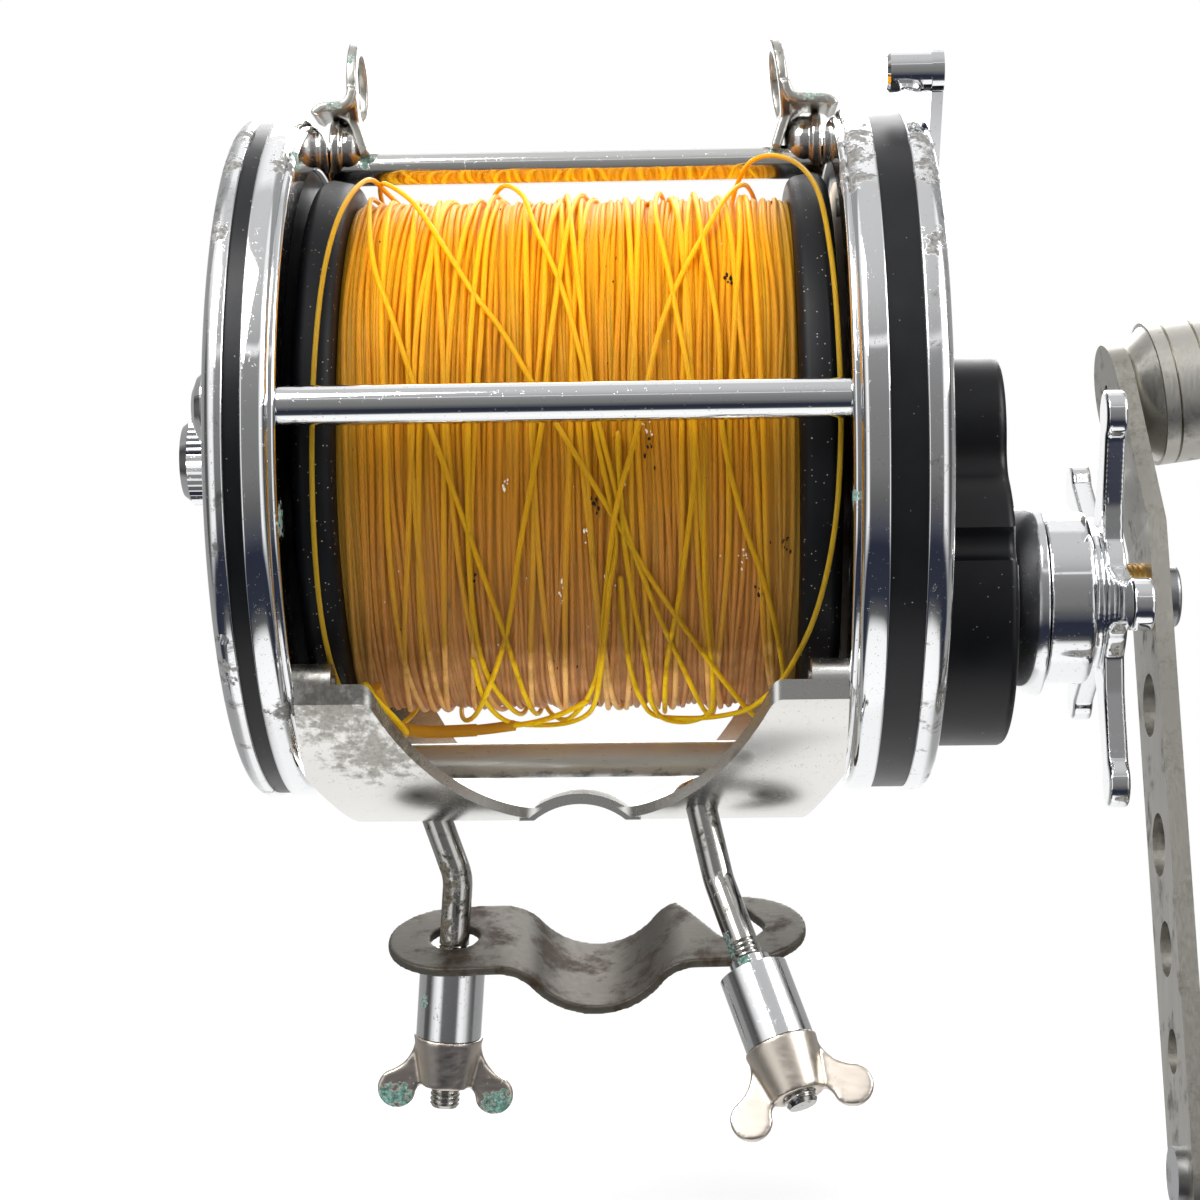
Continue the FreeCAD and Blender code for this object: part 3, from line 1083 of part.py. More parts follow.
def dog():
    """The anti-reverse dog on its post, with its leaf spring."""
    py, pz = DOG_PIVOT
    tip = (12.9, -18.2)
    dy, dz = tip[0] - py, tip[1] - pz
    length = math.hypot(dy, dz)
    uy, uz = dy / length, dz / length
    ny, nz = -uz, uy
    outline = [(py + ny * 3.4, pz + nz * 3.4), (tip[0] + ny * 0.8, tip[1] + nz * 0.8),
               (tip[0] - ny * 0.8, tip[1] - nz * 0.8), (py - ny * 3.4, pz - nz * 3.4)]
    body = fuse([plate_x(outline, *RATCHET_X), cyl_x(3.4, *RATCHET_X, py, pz)])
    save("anti_reverse_dog", [body.cut(cyl_x(1.8 + RUNNING, 50, 60, py, pz))])
    spring = fuse([cyl_x(1.5, BRIDGE_X[1], RATCHET_X[1], py + 3.0, pz + 13.5),
                   block(RATCHET_X[0], RATCHET_X[1], py - 9.5, py + 3.0, pz + 13.2, pz + 13.8)])
    save("dog_spring", [spring])


def star_wheel():
    """The star drag wheel: a hub and five arms with round ends."""
    z = -CRANK_DROP
    hub = cyl_x(STAR_HUB_R, *STAR_HUB_X, 0, z)
    hub = hub.makeChamfer(0.7, [e for e in hub.Edges if abs(e.BoundBox.XMin - STAR_HUB_X[1]) < 0.01])
    neck = cyl_x(13.4, STAR_HUB_X[1] - 1, STAR_X[0] + 1, 0, z)
    disc = cyl_x(15.0, *STAR_X, 0, z)
    wheel = [hub, neck, disc]
    arm_r = STAR_TIP_R - STAR_ARM_END_R
    for i in range(STAR_ARMS):
        arm = plate_x([(8, -7.6), (20, -4.4), (arm_r, -3.4), (arm_r, 3.4), (20, 4.4), (8, 7.6)], *STAR_X)
        end = cyl_x(STAR_ARM_END_R, *STAR_X, arm_r, 0)
        arm = fuse([arm, end])
        arm = turned(arm, STAR_ANGLE + i * 360.0 / STAR_ARMS)
        arm.translate(V(0, 0, z))
        wheel.append(arm)
    body = fuse(wheel).cut(cyl_x(SLEEVE_SHAFT_R + RUNNING, STAR_HUB_X[0] - 1, STAR_X[1] + 1, 0, z))
    save("star_wheel", [body])


def crank_place(shape):
    """Move a shape drawn with the long arm along +Y about the origin to the crank's rest."""
    shape = turned(shape, ARM_ANGLE)
    shape.translate(V(0, 0, -CRANK_DROP))
    return shape


def bent_end(shape):
    """Bend a shape of the short end towards the reel."""
    copy = shape.copy()
    copy.rotate(V(ARM_X[0], -ARM_BEND_START, 0), V(0, 0, 1), -ARM_BEND)
    return copy


def crank():
    """Crank arm, its nut and lock screw, the counterweight and the grip."""
    r = ARM_WIDTH / 2
    long_end = stadium(GRIP_OFFSET, ARM_WIDTH, *ARM_X)
    root = block(ARM_X[0], ARM_X[1], -ARM_BEND_START, 0, -r, r)
    short = fuse([block(ARM_X[0], ARM_X[1], -WEIGHT_OFFSET, -ARM_BEND_START, -r, r),
                  cyl_x(r, *ARM_X, -WEIGHT_OFFSET, 0)])
    short = bent_end(short)
    wedge = wedge_at_bend(r)
    arm = fuse([long_end, root, short, wedge])
    for offset, hole_r in ARM_HOLES:
        arm = arm.cut(cyl_x(hole_r, ARM_X[0] - 1, ARM_X[1] + 1, offset, 0))
    arm = arm.cut(cyl_x(SPINDLE_GRIP_R - 0.5 + FIXED_FIT, ARM_X[0] - 1, ARM_X[1] + 1, GRIP_OFFSET, 0))
    arm = arm.cut(bent_end(cyl_x(3.0 + FIXED_FIT, ARM_X[0] - 1, ARM_X[1] + 1, -WEIGHT_OFFSET, 0)))
    lock_y, lock_z = LOCK_SCREW_YZ
    arm = arm.cut(cyl_x(LOCK_SCREW_R + FIXED_FIT, ARM_X[1] - LOCK_SCREW_REACH - 0.3, ARM_X[1] + 1, lock_y, lock_z))
    save("crank_arm", [crank_place(arm).cut(crank_seat(FIXED_FIT))])
    nut = tube_x(NUT_R, 3.6 + FIXED_FIT, ARM_X[1], NUT_END_X, 0, -CRANK_DROP)
    nut = round_rims(nut, 0.8, [(NUT_END_X, NUT_R)])
    save("crank_nut", [nut])
    lock = fuse([cyl_x(LOCK_HEAD_R, ARM_X[1], ARM_X[1] + LOCK_HEAD, lock_y, lock_z),
                 cyl_x(LOCK_SCREW_R, ARM_X[1] - LOCK_SCREW_REACH, ARM_X[1] + 1, lock_y, lock_z)])
    save("crank_lock_screw", [crank_place(lock)])
    weight = lathe([(ARM_X[1], 0), (ARM_X[1], WEIGHT_NECK_R - 1.0), (ARM_X[1] + WEIGHT_NECK, WEIGHT_R - 0.8),
                    (ARM_X[1] + WEIGHT_NECK, WEIGHT_R)] + groove_profile()
                   + [(ARM_X[1] + WEIGHT_NECK + WEIGHT_BODY - 1.2, WEIGHT_R),
                      (ARM_X[1] + WEIGHT_NECK + WEIGHT_BODY, WEIGHT_R - 1.2),
                      (ARM_X[1] + WEIGHT_NECK + WEIGHT_BODY, 0)], -WEIGHT_OFFSET, 0)
    weight = weight.cut(cyl_x(3.0 + FIXED_FIT, ARM_X[1] - 1, ARM_X[1] + 12.0, -WEIGHT_OFFSET, 0))
    save("counterweight", [crank_place(bent_end(weight))])
    screw = fuse([cyl_x(3.0, ARM_X[0] + 0.2, ARM_X[1] + 11.5, -WEIGHT_OFFSET, 0)])
    screw = screw.cut(block(ARM_X[0], ARM_X[0] + 0.9, -WEIGHT_OFFSET - 4, -WEIGHT_OFFSET + 4, -0.5, 0.5))
    save("counterweight_screw", [crank_place(bent_end(screw))])
    grip()


def wedge_at_bend(r):
    """Fills the outer side of the bend, where the two straight stretches part."""
    a = math.radians(ARM_BEND)
    t = ARM_X[1] - ARM_X[0]
    y0 = -ARM_BEND_START
    points = [V(ARM_X[0], y0, -r), V(ARM_X[1], y0, -r),
              V(ARM_X[0] + t * math.cos(a), y0 - t * math.sin(a), -r)]
    return Part.Face(Part.makePolygon(points + points[:1])).extrude(V(0, 0, 2 * r))


def groove_profile():
    """Two narrow grooves between the lands of the counterweight."""
    start = ARM_X[1] + WEIGHT_NECK
    outline = []
    for land_end in (2.7, 8.2):
        outline += [(start + land_end, WEIGHT_R), (start + land_end + 0.25, WEIGHT_R - 0.6),
                    (start + land_end + 0.5, WEIGHT_R)]
    return outline


def crank_seat(clearance):
    """The double-flat end of the gear sleeve, as a hole."""
    z = -CRANK_DROP
    half = 4.4 + clearance
    return cyl_x(SLEEVE_SHAFT_R + clearance, ARM_X[0] - 1, ARM_X[1] + 1, 0, z).common(
        block(ARM_X[0] - 1, ARM_X[1] + 1, -20, 20, z - half, z + half))


def grip():
    """The grip's riveted spindle and the turning grip."""
    rivet_r = 5.7
    x = ARM_X[1]
    spindle = fuse([cyl_x(rivet_r, ARM_X[0] - 1.6, ARM_X[0], GRIP_OFFSET, 0),
                    cyl_x(SPINDLE_GRIP_R - 0.5, ARM_X[0] - 0.5, x + 1, GRIP_OFFSET, 0),
                    cyl_x(6.5, x, x + 2.0, GRIP_OFFSET, 0),
                    cyl_x(SPINDLE_GRIP_R, x, x + GRIP_LENGTH - 6, GRIP_OFFSET, 0),
                    cyl_x(SPINDLE_GRIP_R + 1.6, x + GRIP_LENGTH - 8, x + GRIP_LENGTH - 6, GRIP_OFFSET, 0)])
    save("grip_spindle", [crank_place(spindle)])
    g0 = x + 2.0 + FACE_GAP
    bore = SPINDLE_GRIP_R + RUNNING
    body = lathe([(g0, bore), (g0, 7.5), (g0 + 2.0, 8.6), (g0 + 10.0, 9.6), (g0 + 26.0, 12.2),
                  (g0 + 40.0, GRIP_R), (g0 + 54.0, 12.3), (g0 + 64.0, 9.6), (g0 + 69.0, 5.6), (g0 + 70.0, 0),
                  (x + GRIP_LENGTH - 5.6, 0), (x + GRIP_LENGTH - 5.6, SPINDLE_GRIP_R + 2.0),
                  (x + GRIP_LENGTH - 8.4, SPINDLE_GRIP_R + 2.0), (x + GRIP_LENGTH - 8.4, bore)], GRIP_OFFSET, 0)
    save("grip", [crank_place(body)])


def main():
    """Write every node."""
    os.makedirs("parts", exist_ok=True)
    rings()
    side_screws("side_screws_left", L_OUTER[0], -1)
    side_screws("side_screws_right", R_OUTER[1], 1)
    pillars()
    foot()
    rod_clamp()
    harness_lug("left")
    harness_lug("right")
    left_plate()
    bearing_cap()
    click()
    click_gear()
    spool()
    right_plate()
    bridge()
    pinion()
    yoke()
    free_spool_lever()
    drive()
    dog()
    star_wheel()
    crank()


main()
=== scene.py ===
import json
import logging
import math
import random
from dataclasses import dataclass
from enum import Enum
from functools import partial
from typing import Any, Callable, Iterable, Sequence

import bpy
from bpy.types import ID, Material, Node, NodeSocket, NodeTree, Object
from mathutils import Matrix, Vector, noise


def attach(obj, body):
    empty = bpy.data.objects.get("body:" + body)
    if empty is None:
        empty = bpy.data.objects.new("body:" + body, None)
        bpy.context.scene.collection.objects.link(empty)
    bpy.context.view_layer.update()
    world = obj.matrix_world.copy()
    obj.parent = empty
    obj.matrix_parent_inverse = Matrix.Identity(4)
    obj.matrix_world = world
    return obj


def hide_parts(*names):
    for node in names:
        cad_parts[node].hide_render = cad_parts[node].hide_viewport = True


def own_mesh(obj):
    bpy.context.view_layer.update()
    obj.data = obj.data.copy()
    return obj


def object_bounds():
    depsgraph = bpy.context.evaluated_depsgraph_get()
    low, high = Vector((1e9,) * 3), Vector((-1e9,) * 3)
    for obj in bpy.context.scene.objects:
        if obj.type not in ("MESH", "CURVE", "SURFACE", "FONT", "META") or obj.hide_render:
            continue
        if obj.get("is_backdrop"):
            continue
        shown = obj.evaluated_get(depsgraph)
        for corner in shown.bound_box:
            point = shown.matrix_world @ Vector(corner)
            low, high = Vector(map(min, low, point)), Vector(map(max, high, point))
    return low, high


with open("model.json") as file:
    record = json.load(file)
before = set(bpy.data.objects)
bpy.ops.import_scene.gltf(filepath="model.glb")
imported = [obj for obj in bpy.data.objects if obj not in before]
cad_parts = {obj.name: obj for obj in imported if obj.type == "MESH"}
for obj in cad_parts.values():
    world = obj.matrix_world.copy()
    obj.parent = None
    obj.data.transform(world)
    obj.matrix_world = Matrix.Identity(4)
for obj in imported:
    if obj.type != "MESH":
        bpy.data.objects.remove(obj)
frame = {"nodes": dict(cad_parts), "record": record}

LOG = logging.getLogger("reel")
MM = 0.001
SPOOL_HEIGHT = 81.5 * MM        # the rod's axis to the spool's axis
PILLAR_TOP = (12.95, 59.4)      # y and z of the top pillar's axis from the spool's, mm
COLLAR_PLACE = (0.0, -29.0)     # the same of the crank's axis
GRIP_PLACE = (-28.5, -135.3)    # the same of the grip's axis
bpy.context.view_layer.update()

Outline = list[tuple[float, float]]                 # a turned section, as x and radius in mm
Keys = Sequence[tuple[float, float, float]]         # places on the winding, as x in mm, degrees and radius in mm


class Body(Enum):
    """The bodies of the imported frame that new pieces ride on."""

    FRAME = "frame"
    DRIVE = "drive"
    STAR = "star"
    GRIP = "grip"
    SPOOL = "spool"
    BRACKET = "bracket"
    NUT_LEFT = "nut_left"
    NUT_RIGHT = "nut_right"


class Slot(Enum):
    """The record's material slots that pieces take their finish from."""

    CHROME = "chrome_plate"
    RESIN = "black_resin"
    LINE = "yellow_line"
    ALUMINIUM = "bare_aluminium"
    NICKEL = "worn_nickel"
    BRASS = "yellow_brass"
    STEEL = "plain_steel"
    FIBRE = "drag_fibre"


def linear(code: str) -> tuple[float, float, float, float]:
    """Turn an sRGB hex colour into linear light.

    Args:
        code: Six hex digits with a leading hash.

    Returns:
        Red, green, blue and alpha in linear light.
    """
    channels = [int(code[i:i + 2], 16) / 255 for i in (1, 3, 5)]
    return (*[c / 12.92 if c <= 0.04045 else ((c + 0.055) / 1.055) ** 2.4 for c in channels], 1.0)


def plug(node: Node, settings: dict[Any, Any]) -> None:
    """Set a node's properties and inputs, and link the inputs that another node feeds.

    Args:
        node: The node.
        settings: Property names, or input names or numbers, with a value or the output that feeds it.
    """
    for name, value in settings.items():
        if isinstance(value, NodeSocket):
            node.id_data.links.new(value, node.inputs[name])
        elif isinstance(name, str) and hasattr(node, name):
            setattr(node, name, value)
        else:
            node.inputs[name].default_value = value


def add_node(tree: NodeTree, kind: str, settings: dict[Any, Any] | None = None, out: int | str = 0,
             ramp: Sequence[tuple[float, Any]] = ()) -> NodeSocket:
    """Add a shader node with its settings and its links.

    Args:
        tree: The node tree of a material or the world.
        kind: The node's type, less the word ShaderNode.
        settings: What plug sets and links on it.
        out: Which of its outputs to return.
        ramp: The stops of a colour ramp, as place and grey level or colour.

    Returns:
        The output.
    """
    node = tree.nodes.new("ShaderNode" + kind)
    plug(node, settings or {})
    if ramp:
        stops = node.color_ramp.elements
        while len(stops) < len(ramp):
            stops.new(0.5)
        for stop, (place, level) in zip(stops, ramp):
            stop.position = place
            stop.color = level if isinstance(level, tuple) else (level, level, level, 1.0)
    return node.outputs[out]


def new_material(name: str) -> tuple[Material, Callable[..., NodeSocket], Node]:
    """Start a node material.

    Args:
        name: The material's name.

    Returns:
        The material, add_node for its tree, and its Principled shader.
    """
    material = bpy.data.materials.new(name)
    material.use_nodes = True
    return material, partial(add_node, material.node_tree), material.node_tree.nodes["Principled BSDF"]


@dataclass(frozen=True)
class ChromePlate:
    """Bright chrome over nickel and brass: mirror-like, greyed by salt pitting, with green bloom where water sat."""

    name: str = "bright chrome plate"
    plate: str = "#EDEEEF"
    pitted: str = "#A2A2A0"
    bloom: str = "#7FA79B"
    wear: float = -0.22         # how far the greyed patches spread, from -1 to 1
    green: float = -0.35        # how far the green bloom spreads, from -1 to 1
    patch: float = 7.0          # size of the greyed patches, mm
    pit: float = 0.34           # size of a pit, mm, coarser than real so that it shows
    polish: float = 0.05        # roughness where nothing has touched the plate

    def build(self) -> Material:
        """Make the material."""
        material, add, shader = new_material(self.name)
        coords = add("TexCoord", out="Object")
        patches = add("TexNoise", {"Scale": 1000 / self.patch, "Detail": 9.0, "Roughness": 0.68, "Distortion": 0.4,
                                   "Vector": coords})
        level = 0.5 + 0.24 * (0.5 - self.wear)
        worn = add("ValToRGB", {"Fac": patches}, ramp=[(level, 0.0), (level + 0.09, 1.0)])
        pits = add("TexVoronoi", {"Scale": 1000 / self.pit, "Randomness": 1.0, "Vector": coords})
        holes = add("ValToRGB", {"Fac": pits}, ramp=[(0.10, 1.0), (0.32, 0.0)])
        spots = add("TexNoise", {"Scale": 1000 / (self.pit * 3), "Detail": 3.0, "Vector": coords})
        few = add("ValToRGB", {"Fac": spots}, ramp=[(0.56, 0.0), (0.66, 1.0)])
        pitting = add("Math", {"operation": "MULTIPLY", 0: holes, 1: few})
        grey = add("Math", {"operation": "MAXIMUM", 0: worn, 1: pitting})
        drops = add("TexNoise", {"Scale": 1000 / (self.patch * 0.55), "Detail": 7.0, "Roughness": 0.7,
                                 "noise_dimensions": "4D", "W": 3.1, "Vector": coords})
        edge = 0.5 + 0.26 * (0.5 - self.green)
        bloom = add("ValToRGB", {"Fac": drops}, ramp=[(edge, 0.0), (edge + 0.05, 1.0)])
        metal = add("Mix", {"data_type": "RGBA", 0: grey, 6: linear(self.plate), 7: linear(self.pitted)}, 2)
        tint = add("Mix", {"data_type": "RGBA", 0: bloom, 6: metal, 7: linear(self.bloom)}, 2)
        rough = add("MapRange", {"To Min": self.polish, "To Max": 0.34, "Value": grey})
        rough = add("Math", {"operation": "MULTIPLY_ADD", 0: bloom, 1: 0.5, 2: rough})
        metallic = add("MapRange", {"To Min": 1.0, "To Max": 0.25, "Value": bloom})
        height = add("Math", {"operation": "MULTIPLY_ADD", 0: pitting, 1: -1.0, 2: bloom})
        bump = add("Bump", {"Strength": 0.35, "Distance": 0.06 * MM, "Height": height})
        plug(shader, {"Base Color": tint, "Roughness": rough, "Metallic": metallic, "Normal": bump})
        return material


@dataclass(frozen=True)
class BlackResin:
    """Moulded phenolic resin: near-black, satin, finely scuffed, with pale dust in its pores."""

    name: str = "moulded black phenolic resin"
    colour: str = "#07090C"
    scuffed: str = "#15181C"
    dusty: str = "#8C8B88"
    roughness: float = 0.32
    scuff: float = 1.2          # width of a scuff mark, mm
    dust: float = 0.10          # how thick the specks of dust lie, 0 to 1
    ior: float = 1.40

    def build(self) -> Material:
        """Make the material."""
        material, add, shader = new_material(self.name)
        coords = add("TexCoord", out="Object")
        broad = add("TexNoise", {"Scale": 60.0, "Detail": 6.0, "Roughness": 0.6, "Vector": coords})
        fine = add("TexNoise", {"Scale": 1000 / self.scuff, "Detail": 8.0, "Roughness": 0.75, "Vector": coords})
        dust = add("ValToRGB", {"Fac": fine}, ramp=[(0.60, 0.0), (0.80, 0.7)])
        haze = add("ValToRGB", {"Fac": broad}, ramp=[(0.42, 0.0), (0.75, 0.5)])
        cover = add("Math", {"operation": "MAXIMUM", 0: dust, 1: haze})
        colour = add("Mix", {"data_type": "RGBA", 0: cover, 6: linear(self.colour), 7: linear(self.scuffed)}, 2)
        crumbs = add("TexVoronoi", {"Scale": 1500.0, "Randomness": 1.0, "Vector": coords})
        size = add("MapRange", {"From Min": 0.35, "From Max": 0.75, "To Min": 0.05, "To Max": 0.3, "Value": fine})
        small = add("Math", {"operation": "LESS_THAN", 0: crumbs, 1: size})
        chosen = add("SeparateXYZ", {"Vector": crumbs.node.outputs["Color"]})
        few = add("Math", {"operation": "LESS_THAN", 0: chosen, 1: self.dust * 0.35})
        specks = add("Math", {"operation": "MULTIPLY", 0: small, 1: few})
        colour = add("Mix", {"data_type": "RGBA", 0: specks, 6: colour, 7: linear(self.dusty)}, 2)
        rough = add("MapRange", {"To Min": self.roughness - 0.06, "To Max": self.roughness + 0.2, "Value": broad})
        bump = add("Bump", {"Strength": 0.25, "Distance": 0.05 * MM, "Height": fine})
        plug(shader, {"Base Color": colour, "Roughness": rough, "Normal": bump, "IOR": self.ior})
        return material


@dataclass(frozen=True)
class BrushedMetal:
    """A bare or nickelled metal with a brushed grain, dulled and stained by handling and salt."""

    name: str = "brushed bare aluminium"
    colour: str = "#C9C6BE"
    stain: str = "#8B857A"
    roughness: float = 0.32
    grain: float = 0.35         # spacing of the brush lines, mm
    stretch: float = 40.0       # how much longer than wide a brush line is
    along: tuple[float, float, float] = (0.0, 0.0, 1.0)
    stained: float = 0.3        # how far the stains spread, from -1 to 1
    metallic: float = 1.0

    def build(self) -> Material:
        """Make the material."""
        material, add, shader = new_material(self.name)
        coords = add("TexCoord", out="Object")
        squeeze = tuple(1.0 / self.stretch if a > 0.5 else 1.0 for a in self.along)
        lines = add("Mapping", {"Scale": squeeze, "Vector": coords})
        brush = add("TexNoise", {"Scale": 1000 / self.grain, "Detail": 2.0, "Vector": lines})
        patches = add("TexNoise", {"Scale": 110.0, "Detail": 9.0, "Roughness": 0.7, "Vector": coords})
        level = 0.5 + 0.24 * (0.5 - self.stained)
        worn = add("ValToRGB", {"Fac": patches}, ramp=[(level, 0.0), (level + 0.12, 1.0)])
        colour = add("Mix", {"data_type": "RGBA", 0: worn, 6: linear(self.colour), 7: linear(self.stain)}, 2)
        rough = add("MapRange", {"To Min": self.roughness - 0.08, "To Max": self.roughness + 0.16, "Value": brush})
        rough = add("Math", {"operation": "MULTIPLY_ADD", 0: worn, 1: 0.15, 2: rough})
        bump = add("Bump", {"Strength": 0.2, "Distance": 0.02 * MM, "Height": brush})
        plug(shader, {"Base Color": colour, "Metallic": self.metallic, "Roughness": rough, "Normal": bump})
        return material


@dataclass(frozen=True)
class NylonLine:
    """Drawn nylon monofilament: clear golden yellow, lit through, darker and browner low down as painted shade by
    height, with a painted backlit highlight at the very bottom.
    """

    name: str = "golden nylon monofilament"
    top: str = "#E0960F"
    middle: str = "#A06C12"
    low: str = "#8A5E32"
    under: str = "#B48458"      # painted backlit highlight at the very bottom, where light comes through from behind
    shade: str = "#6E5C22"      # painted shade beside the flanges, which shadow the line
    glow: float = 0.9           # share of the light that passes into the line
    lit: float = 0.16           # light that comes through from behind, as the line's own glow

    def build(self) -> Material:
        """Make the material."""
        material, add, shader = new_material(self.name)
        coords = add("TexCoord", out="Object")
        drift = add("TexNoise", {"Scale": 120.0, "Detail": 5.0, "Roughness": 0.65, "Vector": coords})
        place = add("SeparateXYZ", {"Vector": coords}).node.outputs
        # Painted shade by height: the ramp runs from the top colour down to the low one as the line goes down, ending
        # in a painted backlit highlight at the very bottom; the drift noise adds real tone.
        low = add("MapRange", {"From Min": 0.128, "From Max": 0.035, "To Min": -0.12, "To Max": 0.88,
                               "Value": place["Z"]})
        shade_by_height_and_tone = add("Math", {"operation": "MULTIPLY_ADD", 0: drift, 1: 0.24, 2: low})
        mix = add("ValToRGB", {"Fac": shade_by_height_and_tone}, ramp=[(0.12, linear(self.top)), (0.50, linear(self.middle)),
                                                  (0.90, linear(self.low)), (1.0, linear(self.under))])
        # Painted shade: the colour turns to the shade colour towards the flanges.
        across = add("Math", {"operation": "ABSOLUTE", 0: place["X"]})
        side = add("MapRange", {"From Min": 0.0345, "From Max": 0.0425, "To Max": 0.75, "Value": across})
        colour = add("Mix", {"data_type": "RGBA", 0: side, 6: mix, 7: linear(self.shade)}, 2)
        plug(shader, {"Base Color": colour, "Emission Color": colour, "Emission Strength": self.lit,
                      "Subsurface Weight": self.glow, "Subsurface Radius": (1.0, 0.6, 0.16),
                      "Subsurface Scale": 1.6 * MM, "Roughness": 0.42, "IOR": 1.3, "Specular IOR Level": 0.3})
        return material


@dataclass(frozen=True)
class StainAndPaintedShade:
    """Corrosion and grime laid in places over another finish, and painted shade laid the same way."""

    colours: tuple[str, str, str]
    places: tuple[tuple[float, float, float, float], ...]     # x, y, z from the spool's axis and reach, mm
    roughness: float = 0.85
    metallic: float = 0.0
    grain: float = 1.6          # mm
    ragged: float = 1.1
    sharp: float = 0.10
    sparse: float = 0.0         # how far the stain is broken up
    height: float = 0.05 * MM

    def lay(self, material: Material) -> Material:
        """Lay the patch over a material.

        Args:
            material: The finish under it.

        Returns:
            The same material.
        """
        add, shader = partial(add_node, material.node_tree), material.node_tree.nodes["Principled BSDF"]
        coords = add("TexCoord", out="Object")
        ragged = add("TexNoise", {"Scale": 1000 / (2.2 * self.grain), "Detail": 9.0, "Roughness": 0.66,
                                  "Vector": coords})
        crumbs = add("TexNoise", {"Scale": 1000 / self.grain, "Detail": 7.0, "Roughness": 0.72, "Vector": coords})
        near = None
        for x, y, z, reach in self.places:
            centre = (x * MM, y * MM, z * MM + SPOOL_HEIGHT)
            away = add("VectorMath", {"operation": "DISTANCE", 0: coords, 1: centre}, "Value")
            close = add("MapRange", {"From Min": reach * MM, "From Max": 0.0, "Value": away})
            near = close if near is None else add("Math", {"operation": "MAXIMUM", 0: near, 1: close})
        cover = add("Math", {"operation": "MULTIPLY_ADD", 0: ragged, 1: self.ragged, 2: near})
        level = 0.5 + self.ragged / 2 + self.sparse
        mask = add("MapRange", {"From Min": level, "From Max": level + self.sharp, "Value": cover})
        colour = add("ValToRGB", {"Fac": crumbs},
                     ramp=[(share, linear(code)) for share, code in zip((0.36, 0.5, 0.64), self.colours)])
        for name, over in (("Base Color", colour), ("Roughness", self.roughness), ("Metallic", self.metallic)):
            kind, first, second, out = ("RGBA", 6, 7, 2) if name == "Base Color" else ("FLOAT", 2, 3, 0)
            held = shader.inputs[name]
            under = held.links[0].from_socket if held.links else held.default_value
            plug(shader, {name: add("Mix", {"data_type": kind, 0: mask, first: under, second: over}, out)})
        raised = add("Math", {"operation": "MULTIPLY", 0: mask, 1: crumbs})
        bump = add("Bump", {"Strength": 0.8, "Distance": self.height, "Height": raised,
                            "Normal": shader.inputs["Normal"].links[0].from_socket})
        plug(shader, {"Normal": bump})
        return material


